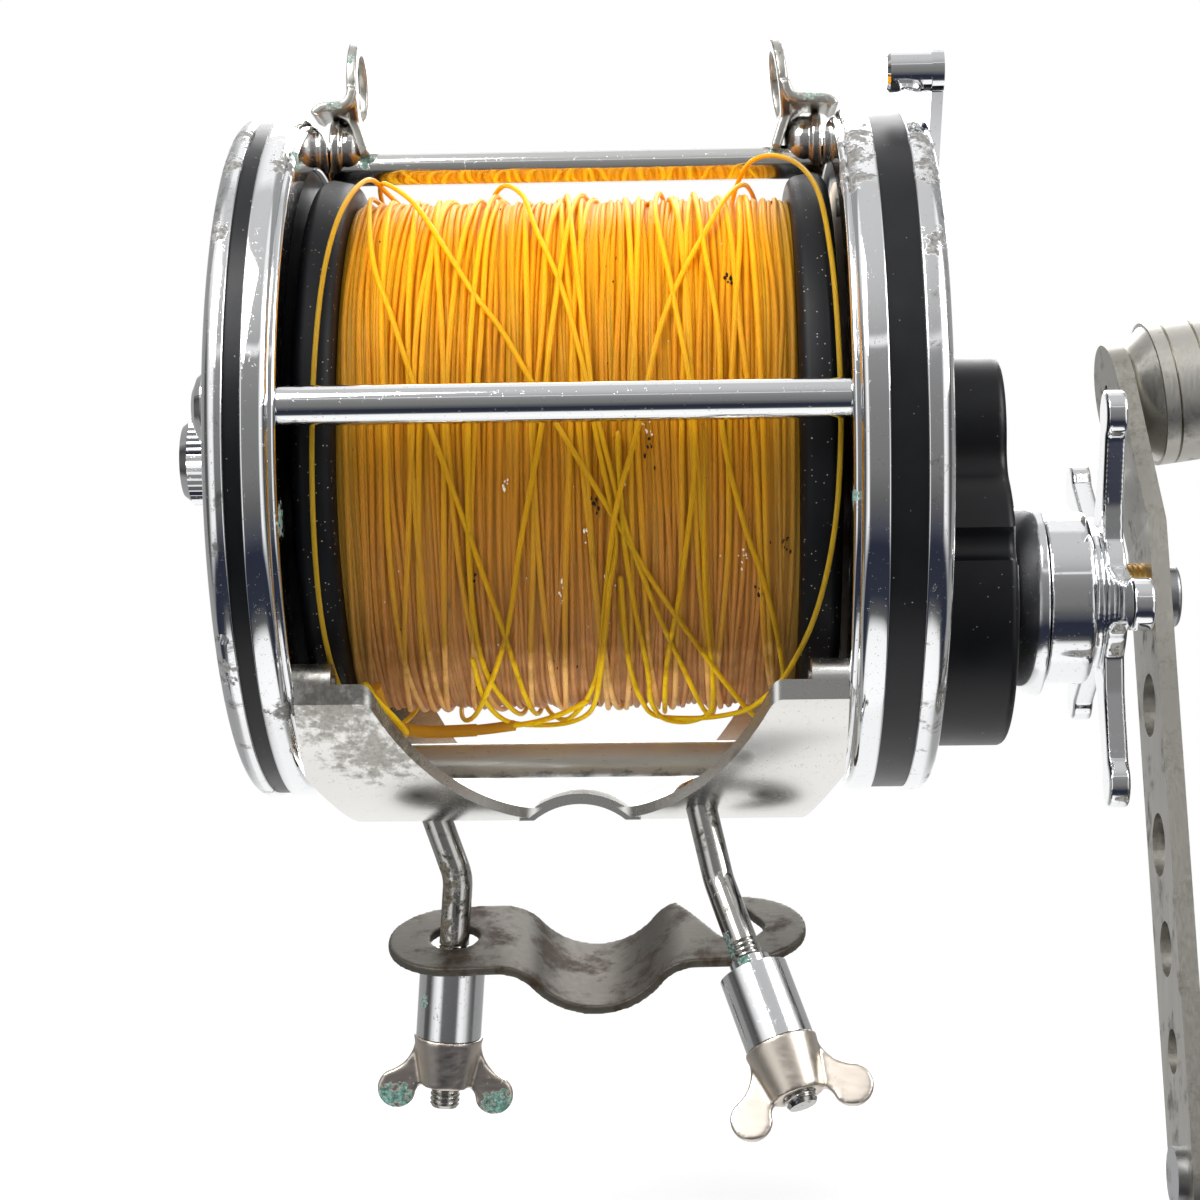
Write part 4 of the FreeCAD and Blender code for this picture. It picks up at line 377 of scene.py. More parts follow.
@dataclass(frozen=True)
class Studio:
    """Plain pale floor, soft lights, a white surround and the photograph's camera."""

    azimuth: float = math.radians(1.6)
    elevation: float = math.radians(-1.0)
    roll: float = math.radians(0.7)
    distance: float = 483 * MM
    offset: tuple[float, float] = (4.1 * MM, -28.3 * MM)
    focal_px: float = 2466.0
    frame_px: float = 1200.0
    sensor: float = 36.0
    # What polished metal mirrors on the angler's side, by height from straight down to straight up.
    room: tuple[tuple[float, Any], ...] = (
        (0.0, 1.15), (0.0506, 1.05), (0.0585, 0.80), (0.076, 0.12), (0.111, (0.030, 0.036, 0.055, 1.0)),
        (0.220, (0.026, 0.030, 0.050, 1.0)), (0.265, (0.075, 0.078, 0.10, 1.0)), (0.33, 0.13), (0.42, 0.20),
        (0.5, 0.215), (0.60, 0.24), (0.70, 0.29), (0.737, 0.32), (0.750, 0.95), (0.762, 0.92), (0.775, 0.42),
        (0.86, 0.55), (0.93, 0.62), (1.0, 0.66))
    # The same to each side of the angler, and behind the reel, by how far the direction leans across.
    wall: tuple[tuple[float, float], ...] = ((0.0, 0.95), (0.70, 1.05), (0.84, 0.75), (0.92, 0.22), (0.965, 0.06),
                                             (1.0, 0.12))
    back: tuple[tuple[float, float], ...] = ((0.0, 1.05), (0.16, 1.05), (0.42, 0.40), (1.0, 0.30))

    def build(self) -> None:
        """Make the floor, the world, the lamps and the camera."""
        self.floor()
        self.world()
        self.lamps()
        self.camera()

    def floor(self) -> None:
        """Lay a wide white floor that keeps the object's shadow."""
        bpy.ops.mesh.primitive_plane_add(size=6.0, location=(0, 0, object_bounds()[0].z - 8 * MM))
        floor = bpy.context.object
        floor.name = "studio_floor"
        material, add, shader = new_material("white studio floor")
        plug(shader, {"Base Color": linear("#F4F4F4"), "Roughness": 0.9})
        reach = add("VectorMath", {"operation": "LENGTH", 0: add("TexCoord", out="Object")}, "Value")
        far = add("MapRange", {"interpolation_type": "SMOOTHSTEP", "From Min": 0.12, "From Max": 0.34,
                               "Value": reach})
        fade = add("Math", {"operation": "MULTIPLY", 0: far, 1: add("LightPath", out="Is Camera Ray")})
        white = add("Emission", {"Color": (1, 1, 1, 1), "Strength": 1.0})
        mix = add("MixShader", {0: fade, 1: shader.outputs[0], 2: white})
        plug(material.node_tree.nodes["Material Output"], {"Surface": mix})
        floor.data.materials.append(material)
        floor.visible_glossy = False
        floor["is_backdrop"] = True

    def world(self) -> None:
        """Set a white surround for the camera and a soft room for metal to reflect."""
        world = bpy.data.worlds.new("studio surround")
        bpy.context.scene.world = world
        world.use_nodes = True
        add = partial(add_node, world.node_tree)
        direction = add("SeparateXYZ", {"Vector": add("TexCoord", out="Generated")}).node.outputs
        height = add("MapRange", {"From Min": -1.0, "From Max": 1.0, "Value": direction["Z"]})
        across = add("Math", {"operation": "ABSOLUTE", 0: direction["X"]})
        room = add("ValToRGB", {"Fac": height}, ramp=self.room)
        wall = add("ValToRGB", {"Fac": across}, ramp=self.wall)
        back = add("ValToRGB", {"Fac": across}, ramp=self.back)
        beside = add("MapRange", {"From Min": 0.40, "From Max": 0.56, "Value": across})
        above = add("MapRange", {"From Min": 0.23, "From Max": 0.31, "Value": height})
        walls = add("Math", {"operation": "MULTIPLY", 0: beside, 1: above})
        front = add("Mix", {"data_type": "RGBA", 0: walls, 6: room, 7: wall}, 2)
        behind = add("MapRange", {"From Min": 0.06, "From Max": 0.17, "Value": direction["Y"]})
        reflected = add("Mix", {"data_type": "RGBA", 0: behind, 6: front, 7: back}, 2)
        path = add("LightPath").node.outputs
        lit = add("Background", {"Color": linear("#F4F6FA"), "Strength": 0.55})
        mirror = add("Background", {"Strength": 1.0, "Color": reflected})
        white = add("Background", {"Color": (1, 1, 1, 1), "Strength": 1.0})
        soft = add("MixShader", {0: path["Is Glossy Ray"], 1: lit, 2: mirror})
        clear = add("Math", {"operation": "MAXIMUM", 0: path["Is Camera Ray"], 1: path["Is Transmission Ray"]})
        plug(world.node_tree.nodes["World Output"], {"Surface": add("MixShader", {0: clear, 1: soft, 2: white})})

    def lamps(self) -> None:
        """Hang three large soft lamps that face the reel."""
        for name, place, size, power in (
                ("key_lamp", (-0.45, -0.55, 0.75), 0.6, 9.0),
                ("side_lamp", (0.7, -0.35, 0.5), 0.5, 4.0),
                ("back_lamp", (0.1, 0.8, 0.6), 0.7, 7.0)):
            bpy.ops.object.light_add(type="AREA", location=place)
            lamp = bpy.context.object
            lamp.name = name
            lamp.data.size = size
            lamp.data.energy = power
            aim = Vector((0.02, 0.0, 0.06)) - Vector(place)
            lamp.rotation_euler = aim.to_track_quat("-Z", "Y").to_euler()

    def camera(self) -> None:
        """Place the photograph's camera with its tilt and its lens."""
        a, e, turn = self.azimuth, self.elevation, self.roll
        back = Vector((math.sin(a) * math.cos(e), -math.cos(a) * math.cos(e), math.sin(e)))
        right = Vector((math.cos(a), math.sin(a), 0.0))
        up = back.cross(right)
        place = back * self.distance + right * self.offset[0] + up * self.offset[1]
        place.z += SPOOL_HEIGHT
        right_rolled = right * math.cos(turn) - up * math.sin(turn)
        up_rolled = up * math.cos(turn) + right * math.sin(turn)
        matrix = Matrix((right_rolled, up_rolled, back)).transposed().to_4x4()
        matrix.translation = place
        bpy.ops.object.camera_add()
        camera = bpy.context.object
        camera.name = "photo_camera"
        camera.matrix_world = matrix
        camera.data.sensor_width = self.sensor
        camera.data.lens = self.sensor * self.focal_px / self.frame_px
        camera.data.clip_start = 0.01
        bpy.context.scene.camera = camera


def activate(piece: Object) -> Object:
    """Select one object alone and make it the active one.

    Args:
        piece: The object.

    Returns:
        The same object.
    """
    bpy.ops.object.select_all(action="DESELECT")
    piece.select_set(True)
    bpy.context.view_layer.objects.active = piece
    return piece


def new_object(name: str, data: ID) -> Object:
    """Put a mesh or a curve into the scene as the active object.

    Args:
        name: The object's name.
        data: The mesh or curve.

    Returns:
        The object.
    """
    thing = bpy.data.objects.new(name, data)
    bpy.context.scene.collection.objects.link(thing)
    return activate(thing)


def close_skin(doubles: float = 0.0) -> None:
    """Merge the active mesh's doubles and turn all its faces outwards.

    Args:
        doubles: How near two points are merged, mm, or 0 where none are.
    """
    bpy.ops.object.mode_set(mode="EDIT")
    bpy.ops.mesh.select_all(action="SELECT")
    if doubles:
        bpy.ops.mesh.remove_doubles(threshold=doubles * MM)
    bpy.ops.mesh.normals_make_consistent(inside=False)
    bpy.ops.object.mode_set(mode="OBJECT")


def modify(kind: str, **settings: Any) -> None:
    """Add a modifier to the active object and apply it.

    Args:
        kind: The modifier's type.
        settings: Its settings.
    """
    change = bpy.context.object.modifiers.new(kind, kind)
    for name, value in settings.items():
        setattr(change, name, value)
    bpy.ops.object.modifier_apply(modifier=kind)


def finish_piece(piece: Object, material: Material, body: Body) -> None:
    """Give a piece its finish and the body that it rides on.

    Args:
        piece: The piece, with its place in its mesh.
        material: Its finish.
        body: The body that it moves with.
    """
    piece.data.materials.clear()
    piece.data.materials.append(material)
    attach(piece, body.value)
    LOG.info("%s: %d faces, rides on %s", piece.name, len(piece.data.polygons), body.value)


def smooth(keys: Sequence[tuple[float, ...]], steps: int) -> list[tuple[float, ...]]:
    """Pass a smooth line through key places.

    Args:
        keys: Places of two or three numbers each.
        steps: Points between two keys.

    Returns:
        The line's points, from the first key to the last.
    """
    ends = [keys[0], *keys, keys[-1]]
    line = []
    for i in range(len(keys) - 1):
        a, b, c, d = ends[i:i + 4]
        for s in range(steps):
            t = s / steps
            line.append(tuple(0.5 * (2 * b[k] + (c[k] - a[k]) * t + (2 * a[k] - 5 * b[k] + 4 * c[k] - d[k]) * t * t
                                     + (3 * b[k] - a[k] - 3 * c[k] + d[k]) * t ** 3) for k in range(len(b))))
    line.append(tuple(keys[-1]))
    return line


def around(x: float, degrees: float, radius: float) -> Vector:
    """Find a point about the spool.

    Args:
        x: Millimetres from the middle of the spool.
        degrees: Angle about the spool, 0 facing the angler, 90 on top.
        radius: Millimetres from the spool's axis.

    Returns:
        The point in the part's frame.
    """
    a = math.radians(degrees)
    return Vector((x * MM, -radius * math.cos(a) * MM, radius * math.sin(a) * MM + SPOOL_HEIGHT))


def strand(name: str, points: Iterable[Vector], radius: float, sides: int = 1) -> Object:
    """Make a round strand through points.

    Args:
        name: The piece's name.
        points: The strand's middle line.
        radius: Half the strand's thickness in metres.
        sides: The curve's bevel resolution.

    Returns:
        The strand as a mesh.
    """
    places = [(*point, 1.0) for point in points]
    curve = bpy.data.curves.new(name, "CURVE")
    curve.dimensions = "3D"
    curve.bevel_depth = radius
    curve.bevel_resolution = sides
    curve.use_fill_caps = True
    spline = curve.splines.new("POLY")
    spline.points.add(len(places) - 1)
    for point, place in zip(spline.points, places):
        point.co = place
    new_object(name, curve)
    bpy.ops.object.convert(target="MESH")
    bpy.ops.object.shade_smooth()
    return bpy.context.object


@dataclass(frozen=True)
class LineWinding:
    """The line on the spool: a packed core, wound layers, slack crossing turns, loose loops and a taped end."""

    half: float = 40.9          # middle of the spool to the flange's face, mm
    core_r: float = 48.3        # mm
    core_rings: int = 130       # cuts across the core that carry its ridges
    rest_r: float = 50.2        # where a slack turn lies on the wound ones, mm
    sunk_r: float = 47.6        # where its ends dive under, mm
    line_r: float = 0.53 * MM
    turns: int = 70
    steps: int = 90             # points in one turn

    def path(self, keys: Keys, steps: int = 14) -> list[Vector]:
        """Pass a smooth line through key places on the winding."""
        return [around(*place) for place in smooth(keys, steps)]

    def core(self) -> Object:
        """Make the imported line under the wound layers, ridged by its turns."""
        bpy.ops.object.select_all(action="DESELECT")
        bpy.ops.mesh.primitive_cylinder_add(vertices=180, radius=self.core_r * MM, depth=2 * self.half * MM,
                                            location=(0, 0, SPOOL_HEIGHT), rotation=(0, math.pi / 2, 0))
        core = bpy.context.object
        core.name = "line_pack"
        bpy.ops.object.transform_apply(location=True, rotation=True, scale=True)
        bpy.ops.object.mode_set(mode="EDIT")
        for place in range(1, self.core_rings):
            bpy.ops.mesh.select_all(action="SELECT")
            bpy.ops.mesh.bisect(plane_co=((2 * place / self.core_rings - 1) * self.half * MM, 0, 0),
                                plane_no=(1, 0, 0))
        bpy.ops.object.mode_set(mode="OBJECT")
        for vertex in core.data.vertices:
            x, y, z = vertex.co.x / MM, vertex.co.y, vertex.co.z - SPOOL_HEIGHT
            a = math.atan2(z, y)
            ridge = 0.3 * math.sin(2 * math.pi * (x + 0.5 * math.sin(2 * a + 0.4 * x)) / 1.25)
            wander = 0.25 * math.sin(3 * a + x * 0.35)
            share = (self.core_r + ridge + wander) * MM / math.hypot(y, z)
            vertex.co.y, vertex.co.z = y * share, z * share + SPOOL_HEIGHT
        bpy.ops.object.shade_smooth()
        return core

    def layer(self, name: str, turns: int, radius: float, swing: float, wander: float, seed: int) -> Object:
        """Wind one layer from flange to flange, each turn drifting from the last.

        Args:
            name: The piece's name.
            turns: Number of turns.
            radius: Mean radius of the layer, mm.
            swing: Sideways swing of a turn, mm.
            wander: How far the radius wavers, mm.
            seed: Seed of the drift.

        Returns:
            The layer as one strand.
        """
        dice = random.Random(seed)
        reach = self.half - self.line_r / MM - 0.1
        drift = [(dice.uniform(-1, 1), dice.uniform(0, 2 * math.pi), dice.uniform(-1, 1)) for _ in range(turns + 2)]
        line = []
        for i in range(turns * self.steps + 1):
            turn = i / self.steps
            k = int(turn)
            f = turn - k
            ease = f * f * (3 - 2 * f)
            (a0, p0, r0), (a1, p1, r1) = drift[k], drift[min(k + 1, turns + 1)]
            angle = 2 * math.pi * turn
            sway = a0 * math.sin(angle + p0) * (1 - ease) + a1 * math.sin(angle + p1) * ease
            x = (2 * turn / turns - 1) * reach
            drag = noise.noise(Vector((x * 0.21, 1.3 * math.cos(angle), 1.3 * math.sin(angle) + seed)))
            x = max(-reach, min(reach, x + swing * sway + 1.5 * drag))
            lift = r0 * (1 - ease) + r1 * ease
            line.append(around(x, 360 * turn - 90, radius + wander * lift))
        return strand(name, line, self.line_r)

    def slack(self) -> list[Object]:
        """Make the slack turns that cross the winding and the loops that hang over the flanges.

        A key is x in mm and degrees, and the radius in mm where the turn stands off the winding.
        """
        runs = {
            "slack_turn_long": [(-37.5, 112), (-38.4, 95, 51.8), (-36.4, 80, 53.2), (-30.1, 66, 51.5), (-23.1, 47),
                                (-17.0, 32), (-11.4, 22), (-4.3, 7), (6.1, -13), (14.7, -31), (23.6, -50, 50.5),
                                (31.0, -70, 51.4), (35.0, -90, 51.6), (37.0, -115)],
            "slack_turn_left": [(-36.5, 115), (-38.6, 85), (-38.0, 68), (-35.2, 41), (-31.2, 26), (-27.0, 11),
                                (-23.8, 1), (-19.6, -13), (-15.7, -28), (-12.0, -46), (-9.5, -70), (-8.0, -100)],
            "slack_turn_middle": [(-17.0, 120), (-16.0, 92, 50.8), (-13.0, 80, 52.4), (-9.0, 68, 51.5), (-5.8, 51),
                                  (-0.8, 32), (2.8, 15), (6.3, -1), (10.4, -20), (14.7, -36), (20.5, -58),
                                  (25.0, -85, 51.0), (27.0, -115)],
            "slack_turn_back": [(37.0, 112), (33.5, 84, 51.8), (28.6, 63, 50.8), (24.6, 48), (17.1, 24),
                                (12.8, 2, 51.2), (8.5, -15, 51.2), (6.2, -35), (4.5, -55), (1.5, -72),
                                (-3.0, -88, 51.6), (-8.0, -110)],
            "slack_turn_steep_left": [(3.0, 100), (1.0, 70), (-1.0, 40), (-3.0, 18), (-4.5, 1), (-8.7, -23),
                                      (-11.9, -44), (-18.6, -72, 51.5), (-24.0, -100, 51.0)],
            "slack_turn_upright": [(-14.0, 100), (-15.5, 60), (-17.0, 20), (-17.3, 1), (-17.8, -31), (-16.6, -54),
                                   (-13.0, -76), (-11.0, -100)],
            "slack_turn_right": [(23.0, 105), (23.4, 75), (24.6, 46), (26.9, 21), (27.4, 0), (30.8, -18),
                                 (34.4, -31), (37.3, -47), (39.0, -67), (39.6, -100)],
            "slack_turn_low": [(-2.0, 100), (-0.5, 70), (1.5, 40), (4.0, 14), (4.9, 2), (8.2, -20),
                               (6.9, -33, 51.0), (5.2, -52, 51.0), (2.0, -76, 51.6), (-6.0, -90, 52.6),
                               (-13.0, -84, 52.2), (-17.0, -70, 50.9), (-18.5, -52)],
            "slack_turn_steep": [(17.5, 95), (16.0, 60), (19.0, 30), (22.5, 0), (20.0, -30), (17.0, -55),
                                 (16.5, -90)],
            "loose_loop_right": [(31.0, 118), (31.5, 100, 52.8), (34.0, 88, 56.2), (37.5, 80, 57.2),
                                 (41.5, 72, 56.8), (45.4, 56, 55.9), (47.0, 36, 55.3), (47.6, 18, 55.1),
                                 (47.7, 0, 55.1), (46.6, -18, 55.2), (43.8, -34, 55.4), (39.6, -48, 55.2),
                                 (35.0, -62, 53.5), (30.0, -74, 52.3), (22.0, -82, 51.9), (15.0, -80, 51.6),
                                 (12.0, -68, 50.8), (10.0, -52), (9.0, -30)],
            "loose_loop_small": [(24.0, -30), (25.5, -60), (25.0, -78, 51.4), (21.0, -84, 52.4),
                                 (16.5, -80, 52.2), (14.0, -70, 51.0), (13.3, -54), (9.8, -22), (9.0, 0)],
            "loose_loop_left": [(-33.0, 110), (-36.5, 88, 51.8), (-38.5, 70, 54.6), (-41.4, 50, 55.0),
                                (-43.0, 33, 55.0), (-43.8, 15, 55.1), (-44.2, -2, 55.1), (-44.4, -20, 55.1),
                                (-44.2, -36, 55.1), (-43.2, -50, 55.0), (-41.0, -64, 54.9), (-37.5, -78, 54.0),
                                (-33.0, -100)],
        }
        return [strand(name, self.path(self.sink([(*key, self.rest_r)[:3] for key in keys])), self.line_r * 0.92, 2)
                for name, keys in runs.items()]

    def sink(self, keys: Keys) -> Keys:
        """Let both ends of a run dive between the wound turns, each at its own place.

        Args:
            keys: The run's keys.

        Returns:
            The keys with one more at each end.
        """
        (x0, a0, _), (x1, a1, _) = keys[0], keys[-1]
        first, last = 10 + 34 * abs(math.sin(9.1 * x0)), 10 + 34 * abs(math.sin(7.3 * x1))
        return [(x0, a0 + first, self.sunk_r), *keys, (x1, a1 - last, self.sunk_r)]

    def strays(self, count: int, seed: int) -> list[Object]:
        """Make half-sunk turns that lean across the last layer.

        Args:
            count: How many.
            seed: Seed of their places.

        Returns:
            The turns.
        """
        dice = random.Random(seed)
        reach = self.half - 1.5
        made = []
        for i in range(count):
            start = -36.0 + 72.0 * (i + dice.uniform(0.1, 0.9)) / count
            slope = dice.choice((-1, 1)) * dice.uniform(2.0, 7.0)
            keys = [(max(-reach, min(reach, start + slope * (110 - a) / 110 + dice.uniform(-0.5, 0.5))), a,
                     49.35 + dice.uniform(0, 0.15)) for a in range(125, -126, -25)]
            made.append(strand(f"stray_turn_{i:02d}", self.path(self.sink(keys), 6), self.line_r, 2))
        return made

    def end(self) -> list[Object]:
        """Make the end of the line: a doubled run, its tape, a small loop and the thread that leaves it."""
        bundle = [(-37.0, -60, 51.2), (-35.5, -70, 53.8), (-33.0, -77, 54.2), (-28.0, -83, 53.9), (-20.0, -85, 53.5),
                  (-12.5, -83, 52.8)]
        loop = [(-36.0, -66, 53.6), (-38.0, -58, 52.6), (-38.4, -55, 53.8), (-36.2, -58, 55.4), (-33.6, -64, 56.0),
                (-32.4, -72, 55.8), (-33.4, -77, 55.4)]
        thread = [(-13.5, -83.3, 52.9), (-8.0, -79, 52.6), (-3.0, -75, 51.8), (2.0, -70, 50.6)]
        runs = (("bundle", bundle, 2, 3), ("tape", bundle[2:5], 2.4, 3), ("loop", loop, 1.1, 2),
                ("thread", thread, 1, 2))
        return [strand("line_end_" + name, self.path(keys), thick * self.line_r, sides)
                for name, keys, thick, sides in runs]

    def build(self, packed: Material, stray: Material, bright: Material, tape: Material) -> None:
        """Make every piece of line and dress it.

        Args:
            packed: The finish of the wound turns.
            stray: The finish of the half-sunk turns.
            bright: The finish of the slack turns.
            tape: The finish of the taped end.
        """
        core = self.core()
        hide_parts("line_core", "line_turns")
        wound = [core, self.layer("wound_turns", self.turns, 48.4, 0.55, 0.2, 3),
                 self.layer("crossing_turns", 34, 48.85, 2.2, 0.25, 11)]
        end = self.end()
        for pieces, material in ((wound, packed), (self.strays(20, 8), stray), (end[:2], tape),
                                 (self.slack() + end[2:], bright)):
            for piece in pieces:
                finish_piece(piece, material, Body.SPOOL)


@dataclass(frozen=True)
class Crumbs:
    """Crumbs of dirt and dried salt caught between the turns of line."""

    seed: int = 21
    radius: float = 49.5        # mm
    heap: int = 8               # crumbs in a cluster

    def scatter(self, name: str, places: Sequence[tuple[float, float]], more: int, size: float,
                material: Material) -> None:
        """Strew crumbs on the winding.

        Args:
            name: The piece's name.
            places: Clusters as x in mm and angle in degrees.
            more: How many single crumbs lie elsewhere.
            size: A crumb's mean radius, mm.
            material: The crumbs' finish.
        """
        dice = random.Random(self.seed + more)
        noise.seed_set(self.seed)       # noise_vector starts anywhere without it
        spots = [(x + dice.gauss(0, 0.5), a + dice.gauss(0, 1.4), size * dice.uniform(0.5, 1.5))
                 for x, a in places for _ in range(self.heap)]
        spots += [(dice.uniform(-38, 38), dice.uniform(-80, 75), size * dice.uniform(0.3, 0.8)) for _ in range(more)]
        bpy.ops.object.select_all(action="DESELECT")
        made = []
        for x, a, r in spots:
            bpy.ops.mesh.primitive_ico_sphere_add(subdivisions=2, radius=r * MM, location=around(x, a, self.radius))
            made.append(bpy.context.object)
            made[-1].scale = (0.7, 1.0, dice.uniform(0.8, 1.8))
        for crumb in made:
            crumb.select_set(True)
        bpy.context.view_layer.objects.active = made[0]
        bpy.ops.object.join()
        crumbs = bpy.context.object
        crumbs.name = name
        bpy.ops.object.transform_apply(location=True, rotation=True, scale=True)
        for vertex in crumbs.data.vertices:
            vertex.co += Vector(noise.noise_vector(vertex.co * 2600)) * 0.12 * MM
        finish_piece(crumbs, material, Body.SPOOL)


def arc(x: float, r: float, radius: float, first: float, last: float, steps: int = 6) -> Outline:
    """Round a corner of a turned outline.

    Args:
        x: The arc's centre along the axis, mm.
        r: The arc's centre out from the axis, mm.
        radius: The arc's radius, mm.
        first: Where the arc starts, in degrees from +X towards the rim.
        last: Where it ends.
        steps: Number of stretches.

    Returns:
        The arc's points.
    """
    turns = [math.radians(first + (last - first) * i / steps) for i in range(steps + 1)]
    return [(x + radius * math.cos(a), r + radius * math.sin(a)) for a in turns]


@dataclass(frozen=True)
class Turned:
    """A piece turned about a line along X, from the outline of its section."""

    node: str
    body: Body
    slot: Slot
    outline: Outline
    centre: tuple[float, float] = (0.0, 0.0)        # y and z of the line, mm from the spool's axis
    steps: int = 240
    closed: bool = True                             # False where both ends of the outline lie on the line
    bores: Sequence[tuple[tuple[float, float, float], float, float, bool]] = ()   # start, radius, depth, from the rim
    crease: float = math.radians(32)                # an edge that turns more stays sharp

    def spin(self) -> Object:
        """Spin the outline into a closed solid."""
        line = Vector((0, self.centre[0] * MM, self.centre[1] * MM + SPOOL_HEIGHT))
        places = [line + Vector((x * MM, 0, r * MM)) for x, r in self.outline]
        edges = [(i, i + 1) for i in range(len(places) - 1)]
        if self.closed:
            edges.append((len(places) - 1, 0))
        mesh = bpy.data.meshes.new(self.node + "_turned")
        mesh.from_pydata(places, edges, [])
        piece = new_object(self.node + "_turned", mesh)
        bpy.ops.object.mode_set(mode="EDIT")
        bpy.ops.mesh.select_all(action="SELECT")
        bpy.ops.mesh.spin(steps=self.steps, angle=2 * math.pi, center=line, axis=(1, 0, 0))
        bpy.ops.object.mode_set(mode="OBJECT")
        close_skin(0.004)
        return piece

    def bore(self, piece: Object) -> None:
        """Cut the round holes and seats.

        Args:
            piece: The turned solid.
        """
        for (x, y, z), radius, depth, from_rim in self.bores:
            axis = Vector((0, y, z)) if from_rim else Vector((1, 0, 0))
            bpy.ops.mesh.primitive_cylinder_add(vertices=40, radius=radius * MM, depth=depth * MM,
                                                rotation=Vector((0, 0, 1)).rotation_difference(axis).to_euler(),
                                                location=(x * MM, y * MM, z * MM + SPOOL_HEIGHT))
            drill = bpy.context.object
            activate(piece)
            modify("BOOLEAN", operation="DIFFERENCE", solver="EXACT", object=drill)
            bpy.data.objects.remove(drill, do_unlink=True)

    def build(self, material: Material) -> None:
        """Make the piece and dress it.

        Args:
            material: The piece's finish.
        """
        piece = self.spin()
        self.bore(piece)
        activate(piece)
        bpy.ops.object.mode_set(mode="EDIT")
        bpy.ops.mesh.select_all(action="DESELECT")
        bpy.ops.mesh.edges_select_sharp(sharpness=self.crease)
        bpy.ops.mesh.mark_sharp()
        bpy.ops.object.mode_set(mode="OBJECT")
        bpy.ops.object.shade_smooth()
        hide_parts(self.node)
        finish_piece(piece, material, self.body)


@dataclass(frozen=True)
class Casting:
    """A cast or forged piece whose edges are rounded by its making and by wear, shaped over its CAD solid."""

    node: str
    body: Body
    slot: Slot
    voxel: float = 0.36 * MM    # size of the skin's cells
    relax: int = 5              # passes of smoothing, each rounding the edges more
    edge: float = 0.0           # metres broken off sharp edges instead, for a piece with flat faces

    def build(self, material: Material) -> None:
        """Make the piece over its CAD solid.

        Args:
            material: The piece's finish.
        """
        piece = new_object(self.node + "_worn", frame["nodes"][self.node].data.copy())
        bpy.ops.mesh.customdata_custom_splitnormals_clear()
        close_skin(0.002)
        if self.edge:
            bpy.ops.object.shade_smooth()
            modify("DECIMATE", decimate_type="DISSOLVE", angle_limit=math.radians(0.5))
            modify("BEVEL", limit_method="ANGLE", angle_limit=math.radians(34), width=self.edge, segments=3,
                   harden_normals=True)
            modify("WEIGHTED_NORMAL", keep_sharp=True)
        else:
            self.soften(self.voxel, self.relax)
        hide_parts(self.node)
        finish_piece(piece, material, self.body)

    @staticmethod
    def soften(voxel: float, relax: int) -> None:
        """Give the active piece one closed skin with rounded edges.

        Args:
            voxel: Size of the skin's cells, metres.
            relax: Passes of smoothing.
        """
        modify("REMESH", mode="VOXEL", voxel_size=voxel)
        modify("SMOOTH", factor=0.5, iterations=relax)
        bpy.ops.object.shade_smooth()


